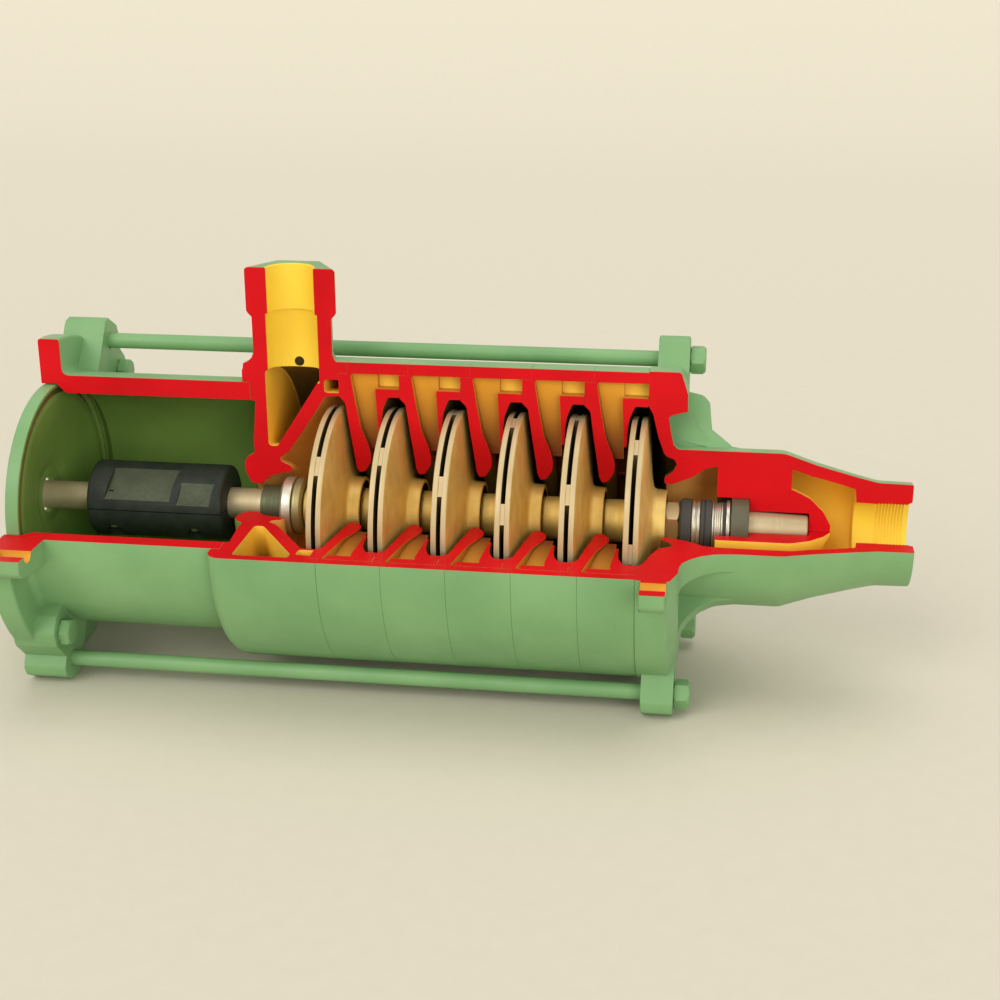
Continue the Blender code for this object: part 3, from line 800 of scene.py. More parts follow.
@dataclass
class Solid:
    """A closed body that is being made, in millimetres about the shaft axis.

    Attributes:
        item: The Blender object that holds its mesh.
    """

    item: bpy.types.Object

    @classmethod
    def from_builder(
        cls, name: str, builder: bmesh.types.BMesh, zone: Zone | None = None
    ) -> Solid:
        """Make a solid of a finished bmesh, with its faces pointing out.

        Args:
            name: The object's name.
            builder: The bmesh, which is used up.
            zone: The zone of all its faces, or None where they have zones already.

        Returns:
            The solid.
        """
        bmesh.ops.recalc_face_normals(builder, faces=builder.faces)
        if zone is not None:
            for face in builder.faces:
                face.material_index = zone
        mesh = bpy.data.meshes.new(name)
        builder.to_mesh(mesh)
        builder.free()
        add_zone_paints(mesh)
        return cls(linked(name, mesh))

    @classmethod
    def turned(cls, name: str, knots: Sequence[Knot], steps: int = TURN_STEPS) -> Solid:
        """Make a solid that is turned all the way round about the shaft axis.

        Args:
            name: The object's name.
            knots: The closed outline.
            steps: How many flats the turning has.

        Returns:
            The solid.
        """
        outline = softened(knots)
        builder = bmesh.new()
        rings: list[list[bmesh.types.BMVert]] = []
        on_axis: dict[int, bmesh.types.BMVert] = {}
        for step in range(steps):
            angle = math.radians(SKEW + 360.0 * step / steps)
            ring = []
            for index, (x, radius, _) in enumerate(outline):
                if radius > SMALLEST:
                    side, height = radius * math.cos(angle), radius * math.sin(angle)
                    ring.append(builder.verts.new((x, side, height)))
                    continue
                if index not in on_axis:
                    on_axis[index] = builder.verts.new((x, 0.0, 0.0))
                ring.append(on_axis[index])
            rings.append(ring)
        count = len(outline)
        for here, there in zip(rings, rings[1:] + rings[:1]):
            for index in range(count):
                after = (index + 1) % count
                corners = dict.fromkeys((here[index], here[after], there[after], there[index]))
                if len(corners) > 2:
                    face = builder.faces.new(tuple(corners))
                    face.material_index = outline[index][2]
        return cls.from_builder(name, builder)

    @classmethod
    def prism(
        cls,
        name: str,
        outline: Sequence[Point2],
        span: Point2,
        zone: Zone = Zone.OUTSIDE,
        soft: float = 0.0,
        upright: bool = False,
    ) -> Solid:
        """Make a straight solid from an outline drawn across x, or across z where it is upright.

        Args:
            name: The object's name.
            outline: The closed outline, as (y, z) points, or (x, y) for an upright one.
            span: Where the solid starts and ends along its axis.
            zone: The zone of its faces.
            soft: The radius that rounds the edges of its two ends.
            upright: Whether the solid stands along z.

        Returns:
            The solid.
        """
        builder = bmesh.new()
        rings = [
            [(a, b, level) if upright else (level, a, b) for a, b in outline] for level in span
        ]
        caps = wrapped(builder, rings)
        if soft > 0.0:
            soften_rims(builder, caps, soft, 3)
            bmesh.ops.remove_doubles(builder, verts=builder.verts, dist=0.01)
            bmesh.ops.dissolve_degenerate(builder, edges=builder.edges, dist=0.005)
        return cls.from_builder(name, builder, zone)

    @classmethod
    def tower(
        cls,
        name: str,
        levels: Sequence[Point2],
        centre: Point2,
        sides: int,
        zone: Zone = Zone.OUTSIDE,
    ) -> Solid:
        """Make a tower of regular polygons about an upright axis.

        Args:
            name: The object's name.
            levels: The (height, corner radius) of each level, from low to high.
            centre: The tower's (x, y).
            sides: How many sides the polygon has.
            zone: The zone of its faces.

        Returns:
            The solid.
        """
        turn = SKEW if sides > 6 else 0.3 * SKEW
        rings = [
            [(x, y, height) for x, y in ngon(sides, radius, centre, turn)]
            for height, radius in levels
        ]
        builder = bmesh.new()
        wrapped(builder, rings)
        return cls.from_builder(name, builder, zone)

    @classmethod
    def rod(
        cls, name: str, radius: float, span: Point2, centre: Point2, zone: Zone = Zone.OUTSIDE
    ) -> Solid:
        """Make a round bar along x about a (y, z) centre."""
        return cls.prism(name, ngon(ROD_STEPS, radius, centre, ROD_SKEW), span, zone)

    def settle(self) -> None:
        """Make what the object's modifiers show its plain mesh."""
        graph = bpy.context.evaluated_depsgraph_get()
        result = bpy.data.meshes.new_from_object(self.item.evaluated_get(graph))
        self.item.modifiers.clear()
        spent = self.item.data
        self.item.data = result
        bpy.data.meshes.remove(spent)

    def _combined(self, other: Solid, operation: str) -> Solid:
        """Unite, cut or intersect with another solid, which is used up.

        Args:
            other: The other solid.
            operation: The Boolean operation.

        Returns:
            This solid.
        """
        modifier = self.item.modifiers.new(operation.title(), "BOOLEAN")
        modifier.operation = operation
        modifier.solver = "EXACT"
        modifier.material_mode = "INDEX"
        modifier.object = other.item
        self.settle()
        spent = other.item.data
        bpy.data.objects.remove(other.item, do_unlink=True)
        bpy.data.meshes.remove(spent)
        return self.cleaned()

    def marked(self, zone: Zone) -> Solid:
        """Put every face in one zone.

        Args:
            zone: The zone.

        Returns:
            This solid.
        """
        mesh = self.item.data
        mesh.materials.clear()
        add_zone_paints(mesh)
        for face in mesh.polygons:
            face.material_index = zone
        return self

    def cleaned(self) -> Solid:
        """Merge the points and edges that a Boolean step leaves too close together.

        Returns:
            This solid.
        """
        builder = bmesh.new()
        builder.from_mesh(self.item.data)
        bmesh.ops.remove_doubles(builder, verts=builder.verts, dist=0.002)
        bmesh.ops.dissolve_degenerate(builder, edges=builder.edges, dist=0.001)
        builder.to_mesh(self.item.data)
        builder.free()
        return self

    def unite(self, other: Solid) -> Solid:
        """Add another solid to this one."""
        return self._combined(other, "UNION")

    def cut(self, other: Solid) -> Solid:
        """Take another solid out of this one."""
        return self._combined(other, "DIFFERENCE")

    def meet(self, other: Solid) -> Solid:
        """Keep only what this solid shares with another."""
        return self._combined(other, "INTERSECT")

    def cut_quarter(self) -> Solid:
        """Cut the front upper quarter off, and leave its faces red."""
        reach = 400.0
        outline = [(-reach, 0.0), (0.0, 0.0), (0.0, reach), (-reach, reach)]
        return self.cut(Solid.prism("quarter", outline, (-reach, 2.0 * reach), Zone.CUT))

    def cut_floor(self) -> Solid:
        """Cut the feet flat where the floor is."""
        reach, floor = 300.0, -SHAFT_HEIGHT
        outline = [(-reach, -reach), (reach, -reach), (reach, floor), (-reach, floor)]
        return self.cut(Solid.prism("floor", outline, (-reach, 2.0 * reach)))


@dataclass
class Assembly:
    """Hands finished pieces over to the frame and reports them.

    Attributes:
        names: The names of the pieces handed over so far.
    """

    names: list[str] = field(default_factory=list)

    def deliver(
        self,
        solid: Solid,
        name: str,
        body: Body,
        nodes: Sequence[str],
        finish: Finish | None = None,
        marks: dict[Zone, Finish] | None = None,
    ) -> bpy.types.Object:
        """Move a solid into the row's frame, dress it and hang it on its body.

        Args:
            solid: The finished solid.
            name: The piece's name.
            body: The body that it rides on.
            nodes: The CAD nodes that it stands for.
            finish: One finish for the whole piece, or None for the casing's painted zones.
            marks: The finishes of the zones that differ from it.

        Returns:
            The piece.
        """
        item = solid.cleaned().item
        item.name = name
        item.data.name = name
        item.data.transform(PUMP_TO_ROW)
        if finish and marks:
            for zone in Zone:
                item.data.materials[zone] = marks.get(zone, finish).make()
        elif finish:
            item.data.materials.clear()
            item.data.materials.append(finish.make())
        item.data.shade_smooth()
        item.data.set_sharp_from_angle(angle=math.radians(SHARP_ANGLE))
        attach(item, body.value)
        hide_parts(*nodes)
        self.names.append(name)
        LOG.info("%s: %d faces on %s", name, len(item.data.polygons), body.value)
        return item


class Repeater:
    """A Geometry Nodes tree whose named inputs are set before it is evaluated."""

    def __init__(self, name: str) -> None:
        """Start a tree with a geometry going in and one coming out.

        Args:
            name: The tree's name.
        """
        self.tree = bpy.data.node_groups.new(name, "GeometryNodeTree")
        self.graph = Graph(self.tree)
        self.sockets: dict[str, str] = {}
        self._socket("Geometry", "NodeSocketGeometry")
        self.tree.interface.new_socket(
            name="Geometry", in_out="OUTPUT", socket_type="NodeSocketGeometry"
        )
        self.entry = self.graph.add("NodeGroupInput")

    def _socket(self, name: str, kind: str) -> None:
        """Add a named input and keep its identifier."""
        made = self.tree.interface.new_socket(name=name, in_out="INPUT", socket_type=kind)
        self.sockets[name] = made.identifier

    def number(self, name: str) -> bpy.types.NodeSocket:
        """Add a named number and return its socket inside the tree."""
        self._socket(name, "NodeSocketFloat")
        return self.entry.outputs[name]

    def whole(self, name: str) -> bpy.types.NodeSocket:
        """Add a named whole number and return its socket inside the tree."""
        self._socket(name, "NodeSocketInt")
        return self.entry.outputs[name]

    def close(self, geometry: bpy.types.NodeSocket) -> None:
        """End the tree with Realize Instances and Set Material.

        Args:
            geometry: What the tree has made so far.
        """
        self._socket("Material", "NodeSocketMaterial")
        whole = self.graph.add("GeometryNodeRealizeInstances", {0: geometry})
        dressed = self.graph.add("GeometryNodeSetMaterial", {"Geometry": whole.outputs[0]})
        self.tree.links.new(self.entry.outputs["Material"], dressed.inputs["Material"])
        self.graph.add("NodeGroupOutput", {0: dressed.outputs[0]})

    def apply(self, solid: Solid, finish: Finish, values: dict[str, float]) -> Solid:
        """Run the tree on a solid and keep the result as its plain mesh.

        Args:
            solid: The shape that the tree starts from.
            finish: The material that it sets.
            values: Its named numbers.

        Returns:
            The same solid with the new mesh.
        """
        modifier = solid.item.modifiers.new(self.tree.name, "NODES")
        modifier.node_group = self.tree
        for name, value in values.items():
            modifier[self.sockets[name]] = value
        modifier[self.sockets["Material"]] = finish.make()
        solid.settle()
        return solid


def round_the_shaft() -> Repeater:
    """Build the tree that repeats a shape round the shaft, but not in the missing quarter.

    Returns:
        The tree, with the inputs Count, First Angle, Gap Start and Gap End.
    """
    repeater = Repeater("round_the_shaft")
    graph = repeater.graph
    count, first = repeater.whole("Count"), repeater.number("First Angle")
    gap_start, gap_end = repeater.number("Gap Start"), repeater.number("Gap End")
    points = graph.add("GeometryNodePoints", {"Count": count})
    index = graph.add("GeometryNodeInputIndex").outputs[0]
    step = graph.math("DIVIDE", 360.0, count)
    angle = graph.math("ADD", graph.math("MULTIPLY", index, step), first)
    after = graph.math("GREATER_THAN", angle, gap_start)
    before = graph.math("LESS_THAN", angle, gap_end)
    kept = graph.math("SUBTRACT", 1.0, graph.math("MULTIPLY", after, before))
    turn = graph.add("ShaderNodeCombineXYZ", {"X": graph.math("RADIANS", angle)})
    rotation = graph.add("FunctionNodeEulerToRotation", {0: turn.outputs[0]})
    copies = graph.add(
        "GeometryNodeInstanceOnPoints",
        {
            "Points": points.outputs[0],
            "Selection": kept,
            "Instance": repeater.entry.outputs["Geometry"],
            "Rotation": rotation.outputs[0],
        },
    )
    repeater.close(copies.outputs[0])
    return repeater


def on_a_grid() -> Repeater:
    """Build the tree that repeats a shape at the four corners of an oblong.

    Returns:
        The tree, with the inputs Length, Width and Middle.
    """
    repeater = Repeater("on_a_grid")
    graph = repeater.graph
    length, width = repeater.number("Length"), repeater.number("Width")
    middle = repeater.number("Middle")
    grid = graph.add(
        "GeometryNodeMeshGrid",
        {"Size X": length, "Size Y": width, "Vertices X": 2, "Vertices Y": 2},
    )
    shift = graph.add("ShaderNodeCombineXYZ", {"X": middle})
    placed = graph.add(
        "GeometryNodeTransform", {"Geometry": grid.outputs[0], "Translation": shift.outputs[0]}
    )
    copies = graph.add(
        "GeometryNodeInstanceOnPoints",
        {"Points": placed.outputs[0], "Instance": repeater.entry.outputs["Geometry"]},
    )
    repeater.close(copies.outputs[0])
    return repeater


def wound_spring() -> Repeater:
    """Build the tree that winds a closed spring of round wire round the shaft.

    Returns:
        The tree, with the inputs Turns, Radius, Length, Wire and Start.
    """
    repeater = Repeater("wound_spring")
    graph = repeater.graph
    turns, radius = repeater.number("Turns"), repeater.number("Radius")
    length, wire = repeater.number("Length"), repeater.number("Wire")
    start = repeater.number("Start")
    spiral = graph.add(
        "GeometryNodeCurveSpiral",
        {
            "Resolution": 48,
            "Rotations": turns,
            "Start Radius": radius,
            "End Radius": radius,
            "Height": length,
        },
    )
    shift = graph.add("ShaderNodeCombineXYZ", {"X": start})
    laid = graph.add(
        "GeometryNodeTransform",
        {
            "Geometry": spiral.outputs[0],
            "Translation": shift.outputs[0],
            "Rotation": (0.0, math.pi / 2.0, 0.0),
        },
    )
    circle = graph.add("GeometryNodeCurvePrimitiveCircle", {"Resolution": 12, "Radius": wire})
    tube = graph.add(
        "GeometryNodeCurveToMesh",
        {"Curve": laid.outputs[0], "Profile Curve": circle.outputs[0], "Fill Caps": True},
    )
    joined = graph.add("GeometryNodeJoinGeometry", {"Geometry": tube.outputs[0]})
    repeater.tree.links.new(repeater.entry.outputs["Geometry"], joined.inputs[0])
    repeater.close(joined.outputs[0])
    return repeater


@dataclass
class TieBoltLugs:
    """The lugs that the tie bolts pass through, the same on both flanges.

    Attributes:
        circle: The radius of the circle that the bolts stand on.
        angles: The angles of the lugs, in degrees from +y towards +z.
        top: How far a lug reaches out.
        half_width: Half its width.
        wall: The casing's radius at its foot.
        soft: How far its corners are rounded.
    """

    circle: float = TIE_CIRCLE
    angles: tuple[float, ...] = (0.0, 60.0, 180.0, 240.0, 300.0)
    top: float = 142.0
    half_width: float = 15.0
    wall: float = 117.0
    soft: float = 3.5

    def outline(self, angle: float, inner: float) -> list[Point2]:
        """Return the (y, z) outline of one lug, from a radius out to its top.

        Args:
            angle: The lug's angle.
            inner: The radius that it starts from.

        Returns:
            The outline.
        """
        half = self.half_width
        shape = [
            (inner, -half - 4.0),
            (self.wall, -half - 1.0),
            (self.top - 6.0, -half),
            (self.top, -half + 5.0),
            (self.top, half - 5.0),
            (self.top - 6.0, half),
            (self.wall, half + 1.0),
            (inner, half + 4.0),
        ]
        return rounded_outline(spoke_outline(angle, shape), self.soft)

    def add_to(
        self, casing: Solid, inner: float, span: Point2, cut_face: float | None = None
    ) -> None:
        """Unite the lugs with a casing piece.

        Args:
            casing: The piece.
            inner: The radius that the lugs start from.
            span: Where they start and end along the shaft.
            cut_face: Where the lug that lies in the level cut ends, if it ends elsewhere.
        """
        for angle in self.angles:
            end = cut_face if cut_face is not None and angle == 180.0 else span[1]
            lug = Solid.prism("lug", self.outline(angle, inner), (span[0], end), soft=1.4)
            casing.unite(lug)

    def drill(self, casing: Solid, radius: float, span: Point2) -> None:
        """Drill the bolts' holes through the lugs, painted orange inside."""
        for angle in self.angles:
            centre = polar(self.circle, angle)
            casing.cut(Solid.rod("hole", radius, span, centre, Zone.PASSAGE))


@dataclass
class Lantern:
    """The lantern between motor and pump: tube, motor flange, lugs and bolt pads.

    Attributes:
        left: The motor flange's left face.
        right: The flange's right face.
        lug_face: The right face of the lugs and pads.
        end: The tube's right end.
        flange_radius: The flange's radius.
        radius: The tube's outer radius.
        bore: The tube's inner radius.
        register: The radius of the motor's seat.
        bolt_circle: The radius of the motor bolts' circle.
        bolt_angles: Their angles.
        bolt_hole: The radius of their holes.
        rod_hole: The radius of the tie bolts' holes.
        lugs: The tie bolt lugs.
    """

    left: float = -242.0
    right: float = -225.0
    lug_face: float = -209.0
    end: float = -77.3
    flange_radius: float = 125.0
    radius: float = 97.0
    bore: float = 83.0
    register: float = 90.0
    bolt_circle: float = MOTOR_CIRCLE
    bolt_angles: tuple[float, ...] = (45.0, 225.0, 315.0)
    bolt_hole: float = 7.0
    rod_hole: float = 6.3
    lugs: TieBoltLugs = field(default_factory=TieBoltLugs)

    def pad_outline(self, rod_angle: float, bolt_angle: float) -> list[Point2]:
        """Return the outline of the pad that joins a lug to the motor bolt beside it.

        Args:
            rod_angle: The tie bolt's angle.
            bolt_angle: The motor bolt's angle.

        Returns:
            The (y, z) outline.
        """
        side = 1.0 if bolt_angle > rod_angle else -1.0
        corners = [
            polar(95.0, rod_angle - 4.0 * side),
            polar(124.0, rod_angle - 4.0 * side),
            polar(129.0, rod_angle + 4.0 * side),
            polar(127.0, bolt_angle + 1.0 * side),
            polar(122.0, bolt_angle + 6.5 * side),
            polar(109.0, bolt_angle + 8.5 * side),
            polar(95.0, bolt_angle + 7.0 * side),
        ]
        return rounded_outline(corners, 4.0)

    def tube(self) -> Solid:
        """Turn the tube and its flange.

        Returns:
            The tube and its flange.
        """
        knots = [
            Knot(self.left, self.register, soft=0.6),
            Knot(self.left, self.flange_radius, soft=2.4),
            Knot(self.right, self.flange_radius, soft=2.4),
            Knot(self.right, self.radius, soft=6.0),
            Knot(self.end, self.radius, soft=0.8),
            Knot(self.end, self.bore, Zone.INSIDE),
            Knot(self.right + 2.0, self.bore, Zone.INSIDE, 0.8),
            Knot(-230.0, self.register, Zone.INSIDE, 0.6),
        ]
        return Solid.turned("tube", knots)

    def build(self, pump: Assembly) -> None:
        """Make the lantern and hand it over.

        Args:
            pump: The assembly.
        """
        lantern = self.tube()
        self.lugs.add_to(lantern, 90.5, (self.left, self.lug_face))
        for rod_angle, bolt_angle in ((60.0, 45.0), (240.0, 225.0), (300.0, 315.0)):
            outline = self.pad_outline(rod_angle, bolt_angle)
            lantern.unite(Solid.prism("pad", outline, (self.left, self.lug_face), soft=1.2))
        self.lugs.drill(lantern, self.rod_hole, (self.left + 9.0, 0.0))
        for angle in self.bolt_angles:
            centre = polar(self.bolt_circle, angle)
            lantern.cut(Solid.rod("hole", self.bolt_hole, (-300.0, 0.0), centre))
        lantern.cut_quarter().cut_floor()
        nodes = ["lantern_flange", "lantern_tube"]
        pump.deliver(lantern, "lantern_casting", Body.CASING, nodes)


@dataclass
class EndShield:
    """The dished end shield of the motor, seen inside the lantern.

    Attributes:
        radius: Its rim's radius.
        bore: The radius of the hole that the motor's shaft passes through.
        face: Where its rim ends, inside the lantern.
    """

    radius: float = 89.0
    bore: float = 14.5
    face: float = -231.0

    def build(self, pump: Assembly) -> None:
        """Make the end shield and hand it over.

        Args:
            pump: The assembly.
        """
        zone = Zone.INSIDE
        knots = [
            Knot(-250.0, self.bore),
            Knot(-250.0, 30.0, soft=3.0),
            Knot(-243.0, 70.0, soft=6.0),
            Knot(-241.0, self.radius, soft=0.8),
            Knot(self.face, self.radius, zone, 0.8),
            Knot(self.face, 86.5, zone),
            Knot(-234.0, 85.5, Zone.CHAMBER),
            Knot(-234.0, 82.5, Zone.CHAMBER),
            Knot(-231.6, 81.5, zone, 0.6),
            Knot(-231.8, 76.0, zone, 4.0),
            Knot(-241.0, 30.0, zone, 8.0),
            Knot(-244.0, 22.0, zone, 2.0),
            Knot(-244.0, self.bore, zone, 0.6),
        ]
        shield = Solid.turned("shield", knots)
        pump.deliver(shield, "end_shield", Body.CASING, ["motor_end_shield"])


@dataclass
class DischargeCasing:
    """The discharge casing: the ring-shaped collector, the seal hub and the nozzle.

    Attributes:
        left: Where the lantern's tube starts on it.
        shoulder: Its left shoulder.
        right: Its right end.
        radius: Its outer radius.
        bore: The radius of the first ring's seat.
        nozzle: The nozzle's place along the shaft.
        nozzle_top: The height of the nozzle's face above the shaft.
        neck: The nozzle's outer radius.
        boss: The corner radius of the hexagon on top.
        port_bore: The bore's radius inside the hexagon.
        neck_bore: The bore's radius below it.
    """

    left: float = -77.0
    shoulder: float = -83.0
    right: float = -2.1
    radius: float = CASING_RADIUS
    bore: float = RING_SEAT
    nozzle: float = -43.0
    nozzle_top: float = 184.5
    neck: float = 30.2
    boss: float = 34.2
    port_bore: float = 17.9
    neck_bore: float = 19.6

    def shell(self) -> Solid:
        """Turn the outer wall, the hub and the slanted web between them.

        Returns:
            The shell.
        """
        # The hub's recess gets the hub paint and the pocket the lit yellow: painted light and shade.
        hub, band = Zone.HUB, Zone.BAND
        knots = [
            Knot(self.left, 97.3, Zone.INSIDE),
            Knot(self.shoulder, 97.3),
            Knot(self.shoulder, 106.0, soft=2.0),
            Knot(-80.0, 111.5, soft=3.0),
            Knot(-75.0, self.radius, soft=6.0),
            Knot(self.right, self.radius, soft=0.5),
            Knot(self.right, self.bore),
            Knot(-9.1, self.bore),
            Knot(-9.1, 101.0, band),
            Knot(-20.0, 101.0, band, 2.5),
            Knot(-20.0, 91.0, band, 2.5),
            Knot(-9.1, 91.0, Zone.CUT, 0.4),
            Knot(-9.1, 88.5, hub, 0.4),
            Knot(-19.5, 88.0, hub, 2.0),
            Knot(-30.0, 72.0, hub, 8.0),
            Knot(-40.0, 57.0, hub, 8.0),
            Knot(-49.5, 43.5, hub, 5.0),
            Knot(-57.0, 38.0, hub, 2.0),
            Knot(-55.5, 35.3, hub, 2.0),
            Knot(-49.0, 32.3, hub, 2.0),
            Knot(-46.3, 29.0, hub, 1.6),
            Knot(-50.0, 27.0, hub, 3.0),
            Knot(-63.0, 24.5, hub, 4.0),
            Knot(-68.0, 20.5, hub, 2.0),
            Knot(-71.5, 17.0, hub, 1.5),
            Knot(-79.5, 17.0, Zone.INSIDE, 2.0),
            Knot(-84.0, 26.0, Zone.INSIDE, 4.0),
            Knot(-84.5, 34.0, Zone.INSIDE, 3.0),
            Knot(-81.5, 38.5, Zone.INSIDE, 3.0),
            Knot(-76.0, 42.0, Zone.INSIDE, 3.0),
            Knot(-76.6, 50.0, Zone.INSIDE, 3.0),
            Knot(-73.6, 82.7, Zone.INSIDE),
            Knot(self.left, 82.7, Zone.INSIDE),
        ]
        return Solid.turned("shell", knots)

    def nozzle_outside(self) -> Solid:
        """Make the nozzle's neck with its flared foot and the hexagon on top.

        Returns:
            The nozzle's outside.
        """
        foot = [(107.0, 39.3), (111.4, 38.7), (113.2, 34.8), (116.2, 31.8), (120.5, self.neck)]
        levels = [*foot, (160.0, self.neck)]
        neck = Solid.tower("neck", levels, (self.nozzle, 0.0), 96)
        head = [
            (146.0, self.neck - 1.0),
            (150.2, self.boss - 1.0),
            (152.0, self.boss),
            (self.nozzle_top - 2.0, self.boss),
            (self.nozzle_top - 0.6, self.boss - 1.2),
            (self.nozzle_top, self.boss - 2.6),
        ]
        return neck.unite(Solid.tower("boss", head, (self.nozzle, 0.0), 6))

    def build(self, pump: Assembly) -> None:
        """Make the casing and hand it over.

        Args:
            pump: The assembly.
        """
        casing = self.shell().unite(self.nozzle_outside())
        band, dark = Zone.BAND, Zone.CHAMBER
        # The collector's outer wall gets the chamber paint: painted shade.
        collector = [
            Knot(-65.0, 47.5, band, 3.4),
            Knot(-65.0, 107.0, dark, 3.0),
            Knot(-24.0, 107.0, dark, 2.0),
            Knot(-24.0, 100.0, band, 3.0),
            Knot(-58.0, 47.5, band, 3.4),
        ]
        casing.cut(Solid.turned("collector", collector))
        centre = (self.nozzle, 0.0)
        low = [(98.0, self.neck_bore), (149.4, self.neck_bore), (150.0, self.neck_bore - 0.4)]
        casing.cut(Solid.tower("bore", low, centre, 96, Zone.NOZZLE))
        top = self.nozzle_top
        high = [
            (149.0, self.port_bore),
            (top - 0.8, self.port_bore),
            (top + 0.2, self.port_bore + 1.0),
            (190.0, self.port_bore + 1.0),
        ]
        casing.cut(Solid.tower("bore", high, centre, 96, Zone.NOZZLE))
        tapping = Solid.prism("tapping", ngon(32, 3.7, (43.3, 109.3)), (10.0, 27.0), Zone.CHAMBER)
        tapping.item.data.transform(Matrix.Rotation(0.5 * math.pi, 4, "Z"))
        casing.cut(tapping)
        casing.cut_quarter()
        pump.deliver(
            casing, "discharge_casting", Body.CASING, ["discharge_casing"]
        )


@dataclass
class StageRings:
    """The five stage rings, each an outer wall with its slanted diaphragm.

    Attributes:
        count: How many rings there are.
        pitch: The length of one stage.
        first_seam: Where the first ring starts.
        last_end: Where the last ring ends.
        radius: The wall's outer radius.
        bore: Its inner radius.
        spigot: The radius of the seat on the ring before.
    """

    count: int = STAGES
    pitch: float = STAGE_PITCH
    first_seam: float = -2.0
    last_end: float = RINGS_END
    radius: float = CASING_RADIUS
    bore: float = RING_SEAT
    spigot: float = SPIGOT_RADIUS

    def ring(self, number: int) -> Solid:
        """Turn one ring.

        Args:
            number: The ring's number, from 0 at the discharge end.

        Returns:
            The ring before its quarter is cut.
        """
        start = number * self.pitch
        end = self.pitch + self.first_seam - SEAM
        if number == self.count - 1:
            end = self.last_end - start
        # The diaphragm's side that faces the impeller gets the chamber paint: painted shade.
        painted, dark = Zone.PASSAGE, Zone.CHAMBER
        knots = [
            Knot(self.first_seam, self.spigot),
            Knot(self.first_seam, self.radius, soft=0.5),
            Knot(end, self.radius, soft=0.5),
            Knot(end, self.bore, painted),
            Knot(0.0, self.bore, painted, 2.5),
            Knot(3.4, 84.0, painted, 14.0),
            Knot(7.2, 64.0, painted, 14.0),
            Knot(12.3, 52.0, painted, 5.0),
            Knot(14.2, 44.0, painted, 4.0),
            Knot(14.0, 37.5, dark, 4.0),
            Knot(9.5, 30.5, dark, 2.0),
            Knot(5.0, 29.5, dark, 1.6),
            Knot(2.8, 34.0, dark, 4.0),
            Knot(1.9, 41.0, dark, 10.0),
            Knot(-1.8, 64.4, dark, 14.0),
            Knot(-4.4, 84.0, dark, 4.0),
            Knot(-9.0, 88.6, painted, 0.6),
            Knot(-9.0, self.spigot),
        ]
        return Solid.turned("ring", shifted(knots, start))

    def build(self, pump: Assembly) -> None:
        """Make the rings and hand them over.

        Args:
            pump: The assembly.
        """
        for number in range(self.count):
            ring = self.ring(number).cut_quarter()
            name = f"stage_ring_{number + 1}"
            pump.deliver(ring, f"{name}_casting", Body.CASING, [name])


